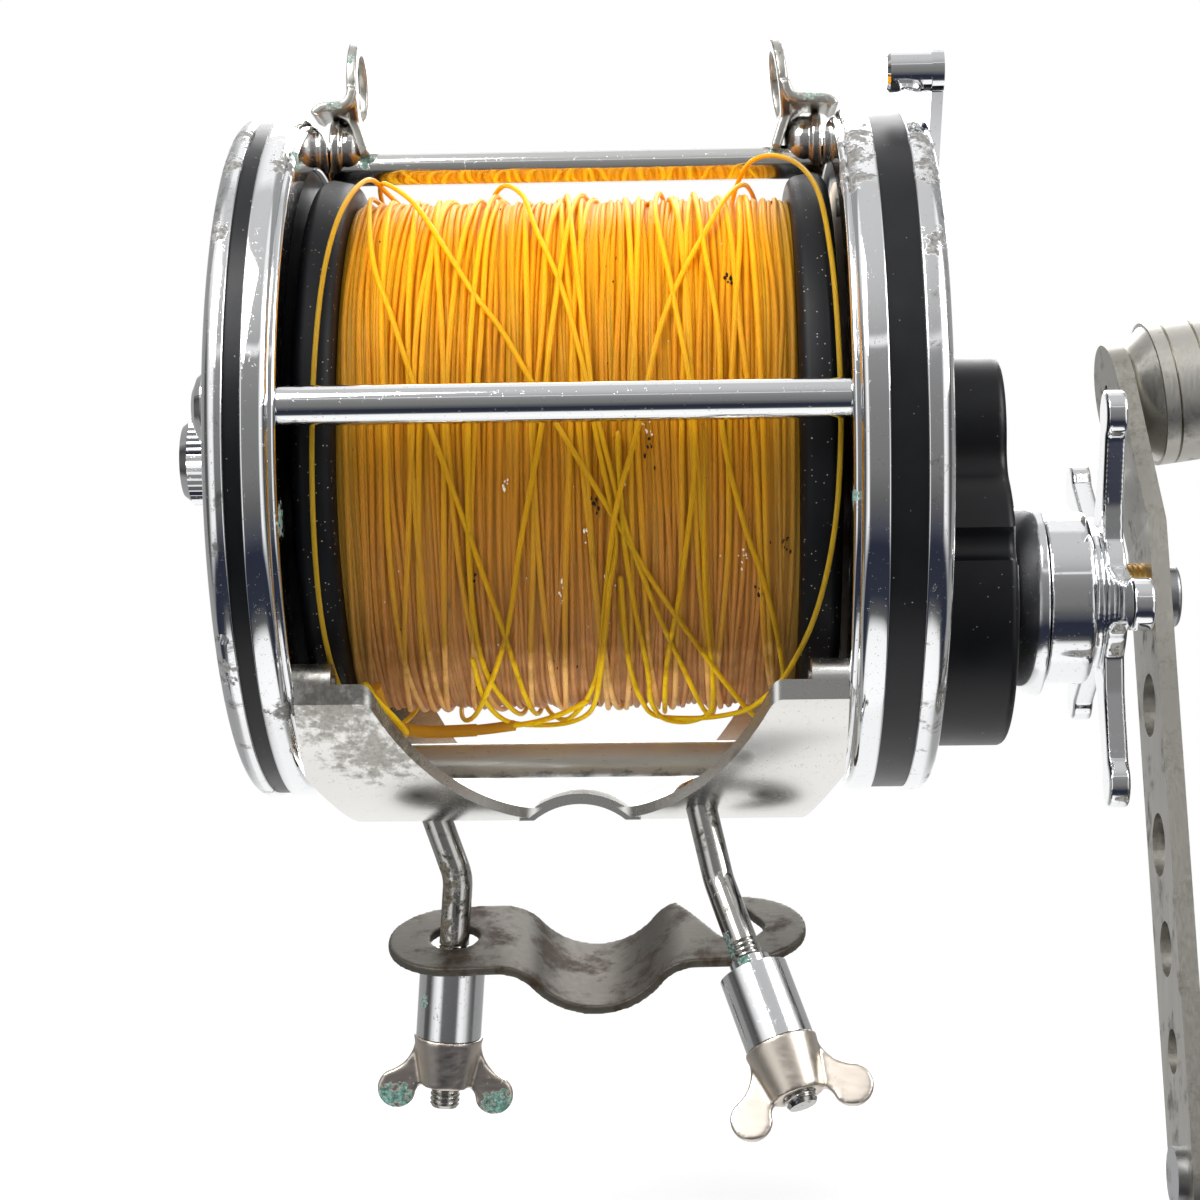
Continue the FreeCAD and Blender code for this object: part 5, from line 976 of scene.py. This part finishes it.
@dataclass(frozen=True)
class HarnessLug:
    """A sheet eye with its strap and web on the top pillar, and the round boss that the pillar passes through."""

    side: int                   # -1 on the left, 1 on the right
    eye_x: float                # middle of the eye's sheet, mm
    eye_z: float
    lean: float = 0.0           # how far the eye leans towards the spool, in degrees
    sheet: float = 1.9
    eye_r: float = 6.4
    rim: float = 2.9
    fold_z: float = 69.0        # where the eye's sheet leaves the strap
    boss_rise: float = 4.0      # the boss's middle above the pillar's

    def band(self, name: str, middle: Outline, first: float, last: float) -> Object:
        """Make a bent strip of sheet.

        Args:
            name: The strip's name.
            middle: Its middle line as distance from the reel's middle and height, mm.
            first: Where it starts in depth, mm.
            last: Where it ends.

        Returns:
            The strip.
        """
        line = [Vector((self.side * a, 0, b)) for a, b in middle]
        sides = ([], [])
        for i, point in enumerate(line):
            along = (line[min(i + 1, len(line) - 1)] - line[max(i - 1, 0)]).normalized()
            out = Vector((-along.z, 0, along.x)) * self.sheet / 2
            sides[0].append(point + out)
            sides[1].append(point - out)
        count = 2 * len(line)
        points = [Vector((p.x, first, p.z)) * MM + Vector((0, 0, SPOOL_HEIGHT)) for p in sides[0] + sides[1][::-1]]
        push = Vector((0, last - first, 0)) * MM
        faces = [(i, (i + 1) % count, (i + 1) % count + count, i + count) for i in range(count)]
        mesh = bpy.data.meshes.new(name)
        mesh.from_pydata(points + [p + push for p in points], [],
                         faces + [tuple(range(count))[::-1], tuple(range(count, 2 * count))])
        return new_object(name, mesh)

    def parts(self) -> list[Object]:
        """Make the rough parts of the eye, its strap and its web."""
        x, y, half, far = self.eye_x, PILLAR_TOP[0], self.sheet / 2, abs(self.eye_x)
        inner, outer = self.eye_r, self.eye_r + self.rim
        ring = [(x - half, inner), (x - half, outer), (x + half, outer), (x + half, inner)]
        eye = Turned("eye", Body.FRAME, Slot.CHROME, ring, (y, self.eye_z), 120).spin()
        swing = (Matrix.Rotation(math.radians(-self.lean), 4, "Y")
                 @ Matrix.Rotation(math.radians(2.0 * self.side), 4, "Z"))
        pivot = Vector((x, y, self.fold_z)) * MM + Vector((0, 0, SPOOL_HEIGHT))
        for vertex in eye.data.vertices:
            vertex.co = pivot + swing @ (vertex.co - pivot)
        strap = self.band("strap", [(51.5, 68.7), (51.1, 69.5), (50.3, 70.05), (49.2, 70.3), (47.6, 70.35),
                                    (far + 2.2, 70.5), (far + 1.1, 71.1), (far + 0.4, 72.2), (far, 74.0)],
                          y - 9.8, y + 1.0)
        web = self.band("web", [(far + 3.2, 70.1), (far + 1.6, 69.4), (far + 0.5, 68.2), (far - 0.3, 66.4),
                                (far - 1.0, 64.2), (far - 1.9, 61.4)], y - 5.6, y + 7.0)
        return [eye, strap, web]

    def boss(self) -> Object:
        """Make the flanged boss about the pillar with its domed shoulder."""
        outline = [(49.15, 0.0), (49.15, 5.6), (48.95, 6.0), (48.6, 6.15), (47.5, 6.15), (47.15, 6.0), (46.95, 5.6),
                   (46.9, 5.1), (46.5, 5.3), (45.6, 5.4), (44.6, 5.2), (43.7, 4.7), (43.0, 4.0), (42.4, 3.0),
                   (42.0, 1.7), (41.9, 0.0)]
        return Turned("boss", Body.FRAME, Slot.CHROME, [(self.side * a, r) for a, r in outline],
                      (PILLAR_TOP[0], PILLAR_TOP[1] + self.boss_rise), 96, False).spin()

    @staticmethod
    def skin(parts: Sequence[Object], name: str, voxel: float, relax: int) -> Object:
        """Join parts under one skin with rounded edges.

        Args:
            parts: The rough parts.
            name: The joined piece's name.
            voxel: Size of the skin's cells, mm.
            relax: Passes of smoothing.

        Returns:
            The piece.
        """
        piece = activate(parts[0])
        for part in parts:
            part.select_set(True)
        if len(parts) > 1:
            bpy.ops.object.join()
        piece.name = name
        close_skin()
        Casting.soften(voxel * MM, relax)
        return piece

    def build(self, worn: Material, bright: Material) -> None:
        """Make the lug's two pieces.

        Args:
            worn: The finish of the eye.
            bright: The finish of the boss.
        """
        end = "left" if self.side < 0 else "right"
        eye = self.skin(self.parts(), "harness_eye_" + end, 0.26, 7)
        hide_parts("harness_lug_" + end)
        finish_piece(eye, worn, Body.FRAME)
        finish_piece(self.skin([self.boss()], "harness_boss_" + end, 0.24, 3), bright, Body.FRAME)


@dataclass(frozen=True)
class ReturnSprings:
    """The two coil springs that push the yoke home, and shorten as the lever draws it out."""

    first: float = 59.34        # mm along the spool's axis
    last: float = 64.26
    coil_r: float = 2.25
    wire_r: float = 0.33
    turns: float = 3.5
    y: float = 14.0             # each side of the spool's axis

    def coil(self, side: int) -> Object:
        """Wind one spring.

        Args:
            side: -1 for the spring nearer the angler, 1 for the other.

        Returns:
            The spring.
        """
        steps = int(self.turns * 28)
        points = []
        for i in range(steps + 1):
            angle = 2 * math.pi * self.turns * i / steps
            x = self.first + self.wire_r + (self.last - self.first - 2 * self.wire_r) * i / steps
            points.append(Vector((x * MM, (side * self.y + self.coil_r * math.cos(angle)) * MM,
                                  self.coil_r * math.sin(angle) * MM + SPOOL_HEIGHT)))
        return strand(f"spring_coil_{side}", points, self.wire_r * MM, 3)

    def build(self, material: Material) -> None:
        """Make both springs as one piece.

        Args:
            material: The springs' finish.
        """
        coils = [self.coil(side) for side in (-1, 1)]
        for coil in coils:
            coil.select_set(True)
        bpy.ops.object.join()
        piece = bpy.context.object
        piece.name = "yoke_return_springs"
        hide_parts("yoke_springs")
        finish_piece(piece, material, Body.FRAME)
        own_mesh(piece)


class Finishes:
    """Every finish of the reel, with the stains and painted shade that lie in places over them."""

    def __init__(self) -> None:
        """Make the finishes, each once."""
        self.plated()
        self.bare()
        self.line()
        self.resin = BlackResin().build()
        # The flanges stand in the spray, so their satin is greyer with dust.
        self.dusty = BlackResin("dusty black resin", dusty="#A59682", roughness=0.42, dust=0.8, ior=1.30).build()
        self.fibre = BlackResin("brown friction fibre", "#4A3424", "#6B503A", roughness=0.7, scuff=0.6,
                                dust=0.0).build()
        # Crumbs between the turns: dull specks, near-black and off-white.
        self.dirt = BlackResin("dark dirt", "#14100C", "#241C14", roughness=0.8, dust=0.0).build()
        self.salt = BlackResin("dried salt", "#D8CFC0", "#F2ECE0", roughness=0.8, dust=0.0).build()

    def plated(self) -> None:
        """Make the chromed finishes, from mirror-bright to grey and green with salt, with painted dark reflection in
        the foot's bends and painted shade on the bosses' lower half.
        """
        grime = (0.7, 0.3, 1.0, 2.4, 0.12, 0.15)        # roughness, metallic, grain, ragged, sharp, sparse
        bloom = StainAndPaintedShade(("#3E5A52", "#6B8F84", "#A9BDB2"),
                      ((-49.4, -59, -14.7, 6.5), (49.3, -61.5, -12.5, 4.5), (-42, 9.5, 61, 4), (40, 9.5, 62, 4),
                       (-49.2, -36, 52, 4)), grain=0.7, ragged=1.8, sparse=0.1)
        # Inner rings and most fittings: bright, with grey bands near the top and bloom at the pillars' ends.
        self.chrome = bloom.lay(StainAndPaintedShade(
            ("#65635E", "#858380", "#A5A4A0"),
            ((52.4, -36.8, 54.8, 11), (51.5, -43.3, 49.8, 11), (50.7, -48.5, 44.7, 9), (-50.4, -41.8, 51, 9),
             (-50.4, 30, 58, 12), (52.6, 36, 55, 12), (-51, -44, -49, 8), (52, 47, -46, 12)), *grime
        ).lay(ChromePlate().build()))
        # Outer rings: salt has frosted them in broad grey flakes.
        self.rim = StainAndPaintedShade(
            ("#65635E", "#858380", "#ABAAA6"),
            ((-61.2, -31.7, 57.9, 11), (-61.7, -42.9, 50.1, 10), (-61.7, -55.1, 36.3, 8), (64.5, -39.1, 53.2, 9),
             (65.3, -47.2, 46.1, 10), (64.0, -57.7, 32.0, 7), (-61, 20, 60, 12), (65, 30, 56, 12),
             (-61.5, 55, -30, 12), (65.5, 50, -40, 12), (-61, -50, -40, 8)), *grime
        ).lay(ChromePlate("corroded chrome rim", pitted="#A3A4A1", wear=0.25, green=-0.15, patch=4.0,
                          polish=0.11).build())
        # The foot: satin, so that it mirrors only light and dark, mottled on the left wing, with a painted dark
        # reflection where it bends.
        self.foot = ChromePlate("satin chrome of the foot", "#E8E7E3", "#8F8B83", wear=-0.35, green=-0.8, patch=9.0,
                                polish=0.27).build()
        StainAndPaintedShade(("#98958E", "#AAA7A0", "#B9B6AF"), ((-42, -44, -46, 22), (-36, -38, -56, 18)), 0.33, 1.0, 0.9, 1.8, 0.3,
              0.0, 0.01 * MM).lay(self.foot)
        # Painted dark reflection in the bends of the foot's sheet, at its lower corners.
        StainAndPaintedShade(("#4A4743", "#5A5753", "#6F6C67"),
              ((-29.3, -26.1, -64.4, 9), (30.6, -37.4, -58.6, 6), (34.5, -25.6, -65.7, 6)),
              0.34, 1.0, 4.0, 0.5, 0.5, 0.0, 0.01 * MM).lay(self.foot)
        # The studs: pitted through to brown on the left, green at the thread on the right.
        self.stud = ChromePlate("pitted chrome of the studs", "#BDBCB8", "#5C574C", "#5E7268", wear=0.25, green=0.0,
                                patch=2.4, polish=0.12).build()
        StainAndPaintedShade(("#4A4438", "#6E6656", "#8A857A"), ((-30, -2, -84, 13), (-29, -1, -93, 10)), 0.75, 0.2,
              0.9).lay(self.stud)
        StainAndPaintedShade(("#2B3B36", "#3F5A52", "#6F958A"), ((29.3, -26, -93.5, 7),), grain=0.8).lay(self.stud)
        # The sleeves and the drag's collar: bright, with verdigris about their ends.
        self.sleeve = StainAndPaintedShade(
            ("#33493F", "#5C8074", "#86A99E"), ((-22.5, -6, -97, 6), (30.5, -31, -94, 5), (-31, -4, -106, 3)),
            grain=0.6, ragged=2.4, sparse=0.15
        ).lay(ChromePlate("chrome of the sleeves", wear=-0.1, green=-0.1, patch=4.0, polish=0.12).build())
        # The top pillar: bright under a thin greenish film.
        self.film = bloom.lay(ChromePlate("chrome with a thin film", "#F0F0EE", "#9A978E", "#6B8F84", wear=-0.2,
                                          green=-0.1, patch=3.0, polish=0.10).build())
        # The harness eyes: dull satin grey with chalky green edges. Their bosses: bright, with painted shade on the
        # lower half.
        self.satin = StainAndPaintedShade(
            ("#4E665E", "#7E9A90", "#B4C0B6"), ((-48, 4, 71, 6), (47, 4, 71, 7), (-43.9, 4, 80, 4)), grain=0.5,
            ragged=2.4, sparse=0.25
        ).lay(ChromePlate("satin chrome of the eyes", "#B6B4AE", "#7A746A", "#8DA69B", wear=0.1, green=-0.05,
                          patch=3.0, polish=0.36).build())
        # Painted shade: a dark patch over the lower half of each boss.
        self.boss = StainAndPaintedShade(
            ("#222226", "#2A2A2E", "#3C3C40"),
            ((-45.5, 8, 57.5, 13), (45.5, 8, 57.5, 13), (-46, 18, 58, 12), (46, 18, 58, 12)),
            0.2, 0.7, 2.0, 0.3, 0.3, 0.0, 0.01 * MM
        ).lay(ChromePlate("chrome of the bosses with painted shade below", plate="#E4E4E2", wear=-0.1, green=-0.2, patch=3.0,
                          polish=0.07).build())

    def bare(self) -> None:
        """Make the bare and nickelled metals, which show their brush lines and tarnish, with a painted dark
        reflection on the bottom pillar.
        """
        self.aluminium = BrushedMetal().build()
        # The wing nuts: warm pale nickel with verdigris on the tips of their wings.
        self.nickel = StainAndPaintedShade(
            ("#2F453D", "#4E7268", "#86AA9F"),
            ((-38.5, 0.5, -126.0, 10), (-16.0, 0.5, -126.5, 9), (29.5, -38, -124, 8)),
            grain=0.9, ragged=2.0, sparse=0.12
        ).lay(BrushedMetal("stained nickel plate", "#DAD0C4", "#B5A594", 0.30, 0.8, 3.0, (1, 0, 0), 0.1).build())
        self.brass = BrushedMetal("machined brass", "#C9A25A", "#8C6B36", 0.3, 0.3, 6.0, (0, 0, 1), 0.25).build()
        self.steel = BrushedMetal("plain steel", "#9FA0A2", "#6A6460", 0.3, 0.3, 6.0, (1, 0, 0), 0.3).build()
        # The bracket: dark brown-grey, its nickel gone dull.
        self.dull = BrushedMetal("tarnished nickel plate", "#5C5850", "#45382C", 0.46, 0.6, 3.0, (1, 0, 0), 0.55,
                                 0.7).build()
        # The bottom pillar: a grey film, with a painted dark reflection along its lower front edge, and brown on top.
        self.grey = BrushedMetal("grimy chrome with a painted dark reflection", "#D2D8D6", "#969A97", 0.28, 0.5, 6.0, (1, 0, 0), 0.1, 0.3).build()
        # Painted dark reflection along the pillar's lower front edge.
        StainAndPaintedShade(("#3A3E3C", "#474B49", "#5E625F"),
              tuple((x, -59.9 * 0.172 + 20.6 - 1.5, -66.0, 9) for x in range(-40, 41, 8)),
              0.4, 0.4, 1.2, 0.8, 0.25).lay(self.grey)
        StainAndPaintedShade(("#46382A", "#5C4A3A", "#6E5E4C"), tuple((x, 10.2, -53.0, 6) for x in range(-40, 41, 6)),
              0.5, 0.4, 1.2, 0.6, 0.25).lay(self.grey)
        # The crank arm: brushed lengthwise, grey and handled.
        self.arm = BrushedMetal("brushed aluminium of the crank arm", "#A8A59D", "#78746B", 0.34, stained=0.4).build()

    def line(self) -> None:
        """Make the line's finishes: deep gold where packed, clear yellow where slack, straw under the tape."""
        # Each line finish carries painted shade by height and beside the flanges, and a painted backlit highlight at
        # the very bottom.
        self.packed = NylonLine().build()
        self.sunk = NylonLine("half-sunk nylon monofilament", "#F4AA12", "#A87A12", "#8E6824", "#E0B070",
                              "#7A6A26").build()
        self.slack = NylonLine("slack nylon monofilament", "#F0B010", "#AA8210", "#8C6A10", "#EAC01C", "#86721E",
                               lit=0.1).build()
        self.tape = NylonLine("nylon line under clear tape", "#D09A2E", "#C8922A", "#BE8828", "#C4902C", "#A8802A",
                              lit=0.1).build()

    def dress_nodes(self) -> None:
        """Give every CAD node the finish of its slot, or its own."""
        by_slot = {Slot.CHROME: self.chrome, Slot.RESIN: self.resin, Slot.LINE: self.packed,
                   Slot.ALUMINIUM: self.aluminium, Slot.NICKEL: self.nickel, Slot.BRASS: self.brass,
                   Slot.STEEL: self.steel, Slot.FIBRE: self.fibre}
        own = {"stud_left": self.stud, "stud_right": self.stud, "clamp_sleeve_left": self.sleeve,
               "clamp_sleeve_right": self.sleeve, "crank_arm": self.arm}
        for part in frame["record"]["subparts"]:
            thing = frame["nodes"][part["node"]]
            if not thing.material_slots:
                thing.data.materials.append(None)
            for held in thing.material_slots:
                held.material = own.get(part["node"], by_slot[Slot(part["material_slot"])])


@dataclass(frozen=True)
class SideFrames:
    """The chromed side rings, the pillars that join them and the flanges of the spool."""

    finishes: Finishes
    ring_r: float = 66.0        # mm
    bore_r: float = 56.0
    screw_circle: float = 60.8
    screw_angles: tuple[float, ...] = (175.6, 77.7, -80.3, -14.0, 225.6, -45.6)     # from +Y towards +Z
    seat_r: float = 2.9         # a screw's countersunk seat
    seat_depth: float = 2.8
    oil_angle: float = 212.5    # the oil hole in the left rim
    oil_r: float = 1.1

    def ring(self, face: float, width: float, side: int, outer: bool) -> Outline:
        """Outline a side ring.

        Args:
            face: The face towards the spool, mm from the spool's middle.
            width: The ring's width, mm.
            side: -1 on the left, 1 on the right.
            outer: Whether it has a crowned rim that rolls over to the outer face, and not a rolled lip with a fine
                groove and a crowned rim.

        Returns:
            The ring's section.
        """
        r, bore = self.ring_r, self.bore_r
        outline = [(0.25, bore), (0.0, bore + 0.3)]
        if outer:
            outline += [(0.0, r - 0.8), *arc(0.42, r - 0.5, 0.42, 180, 90, 5), (0.9, r - 0.02), (1.3, r),
                        *arc(width - 2.8, r - 2.85, 2.8, 82, 6, 14), (width, r - 3.0), (width, r - 3.4),
                        (width, bore + 0.5), (width - 0.4, bore)]
        else:
            outline += [(0.0, r - 2.8), *arc(0.9, r - 2.6, 0.9, 180, 90), (1.0, r - 1.9), (1.08, r - 1.98),
                        (1.2, r - 1.9), *arc(3.1, r - 2.0, 1.95, 163, 90, 9), (0.6 * width, r),
                        (width - 0.9, r - 0.03), *arc(width - 0.42, r - 0.5, 0.42, 90, 0, 5), (width, r - 0.8),
                        (width, bore + 0.3), (width - 0.25, bore)]
        return [(side * (face + t), radius) for t, radius in outline]

    @staticmethod
    def flange(side: int) -> Outline:
        """Outline a flange of the spool: a hub, a dished outer face and a full round rim.

        Args:
            side: -1 on the left, 1 on the right.

        Returns:
            The flange's section.
        """
        outline = [(41.0, 20.2), (41.0, 50.6)] + arc(43.4, 51.0, 2.4, 172, 100, 6) + arc(45.6, 51.2, 2.75, 84, 0, 7)
        outline += [(48.4, 50.6), (48.4, 46.4), (48.0, 45.6), (46.6, 44.9), (46.4, 44.0), (46.4, 27.0), (46.9, 26.2),
                    (48.4, 25.8), (48.4, 10.6), (48.0, 10.2), (48.0, 4.1), (41.2, 4.1), (41.2, 20.0)]
        return [(side * x, r) for x, r in outline]

    @staticmethod
    def bar() -> Outline:
        """Outline a pillar: a bar with a fine chamfer at each end."""
        half = [(49.2, 0.0), (49.2, 3.2), (48.95, 3.46), (48.3, 3.5), (20.0, 3.5)]
        return half + [(-x, r) for x, r in reversed(half)]

    def build(self) -> None:
        """Make every piece: the inner rings, the outer ones with their bores, the pillars and the flanges."""
        turns = [math.radians(a) for a in self.screw_angles]
        seats = [(self.screw_circle * math.cos(a), self.screw_circle * math.sin(a)) for a in turns]
        for node, face, width, side in (("ring_inner_left", 49.2, 5.9, -1), ("ring_inner_right", 49.2, 6.3, 1)):
            Turned(node, Body.FRAME, Slot.CHROME, self.ring(face, width, side, False)).build(self.finishes.chrome)
        for node, face, width, side in (("ring_outer_left", 58.0, 4.0, -1), ("ring_outer_right", 61.7, 4.8, 1)):
            bores = [((side * (face + width), y, z), self.seat_r, self.seat_depth, False) for y, z in seats]
            if side < 0:
                a = math.radians(self.oil_angle)
                bores.append(((side * (face + width / 2), self.ring_r * math.cos(a), self.ring_r * math.sin(a)),
                              self.oil_r, 5.0, True))
            Turned(node, Body.FRAME, Slot.CHROME, self.ring(face, width, side, True),
                   bores=bores).build(self.finishes.rim)
        chrome = self.finishes.chrome
        for name, place, finish in zip(("rear", "top", "bottom", "front"), seats,
                                       (chrome, self.finishes.film, self.finishes.grey, chrome)):
            Turned("pillar_" + name, Body.FRAME, Slot.CHROME, self.bar(), place, 72, False).build(finish)
        for node, side in (("spool_flange_left", -1), ("spool_flange_right", 1)):
            Turned(node, Body.SPOOL, Slot.RESIN, self.flange(side)).build(self.finishes.dusty)


@dataclass(frozen=True)
class CrankSide:
    """The turned pieces on the crank's axis and at its end."""

    finishes: Finishes
    grip_start: float = 113.0   # mm from the reel's middle

    def collar(self) -> None:
        """Make the drag's collar, a plain barrel that flares into a rolled rim."""
        outline = [(75.2, 4.3), (75.2, 9.4), (82.7, 9.4), (82.7, 14.4), (82.9, 15.2), (83.6, 16.4), (84.8, 17.5),
                   (86.2, 18.3), (87.6, 18.8), (88.6, 19.0), (88.9, 18.9), (89.0, 18.6), (89.3, 17.2), (89.3, 4.3)]
        Turned("drag_collar", Body.DRIVE, Slot.CHROME, outline, COLLAR_PLACE, 180).build(self.finishes.sleeve)

    def grip(self) -> None:
        """Make the grip, slim at the arm and full at its end."""
        outline = [(4.0, 7.2), (4.5, 7.6), (5.2, 8.1), (7.0, 8.7), (14.0, 9.7), (22.0, 11.2), (30.0, 12.3),
                   (38.0, 12.9), (44.0, 13.0), (50.0, 12.8), (56.0, 12.2), (61.0, 11.2), (65.0, 9.9), (68.5, 8.2),
                   (70.8, 6.3), (72.0, 4.4), (72.25, 2.2), (72.3, 0.0)]
        Turned("grip", Body.GRIP, Slot.RESIN, smooth([(self.grip_start + t, r) for t, r in outline], 5),
               GRIP_PLACE, 120, False).build(self.finishes.resin)


def main() -> None:
    """Build the studio, the finishes and the pieces."""
    logging.basicConfig(level=logging.INFO)
    bpy.context.scene.view_settings.view_transform = "Standard"
    bpy.ops.object.select_all(action="DESELECT")
    Studio().build()
    finishes = Finishes()
    finishes.dress_nodes()
    LineWinding().build(finishes.packed, finishes.sunk, finishes.slack, finishes.tape)
    SideFrames(finishes).build()
    Casting("reel_foot", Body.FRAME, Slot.CHROME, edge=0.4 * MM).build(finishes.foot)
    Crumbs().scatter("dirt_crumbs", [(28.9, 35), (14.3, -3), (34.0, -34), (38.2, -23), (4.9, -14), (-17.5, -29)],
                     40, 0.27, finishes.dirt)
    Crumbs().scatter("salt_crumbs", [(14.0, 0), (6.7, -31), (-1.5, -34), (31.0, -26), (-11.0, -10), (3.0, -20)],
                     50, 0.2, finishes.salt)
    CrankSide(finishes).collar()
    CrankSide(finishes).grip()
    ReturnSprings().build(finishes.steel)
    Casting("star_wheel", Body.STAR, Slot.CHROME, 0.3 * MM, 22).build(finishes.chrome)
    Casting("wing_nut_left", Body.NUT_LEFT, Slot.NICKEL, 0.3 * MM, 14).build(finishes.nickel)
    Casting("wing_nut_right", Body.NUT_RIGHT, Slot.NICKEL, 0.3 * MM, 14).build(finishes.nickel)
    HarnessLug(-1, -43.9, 75.7).build(finishes.satin, finishes.boss)
    HarnessLug(1, 41.8, 75.2, lean=7.0).build(finishes.satin, finishes.boss)
    Casting("clamp_bracket", Body.BRACKET, Slot.NICKEL, 0.34 * MM, 6).build(finishes.dull)


if __name__ == "__main__":
    main()
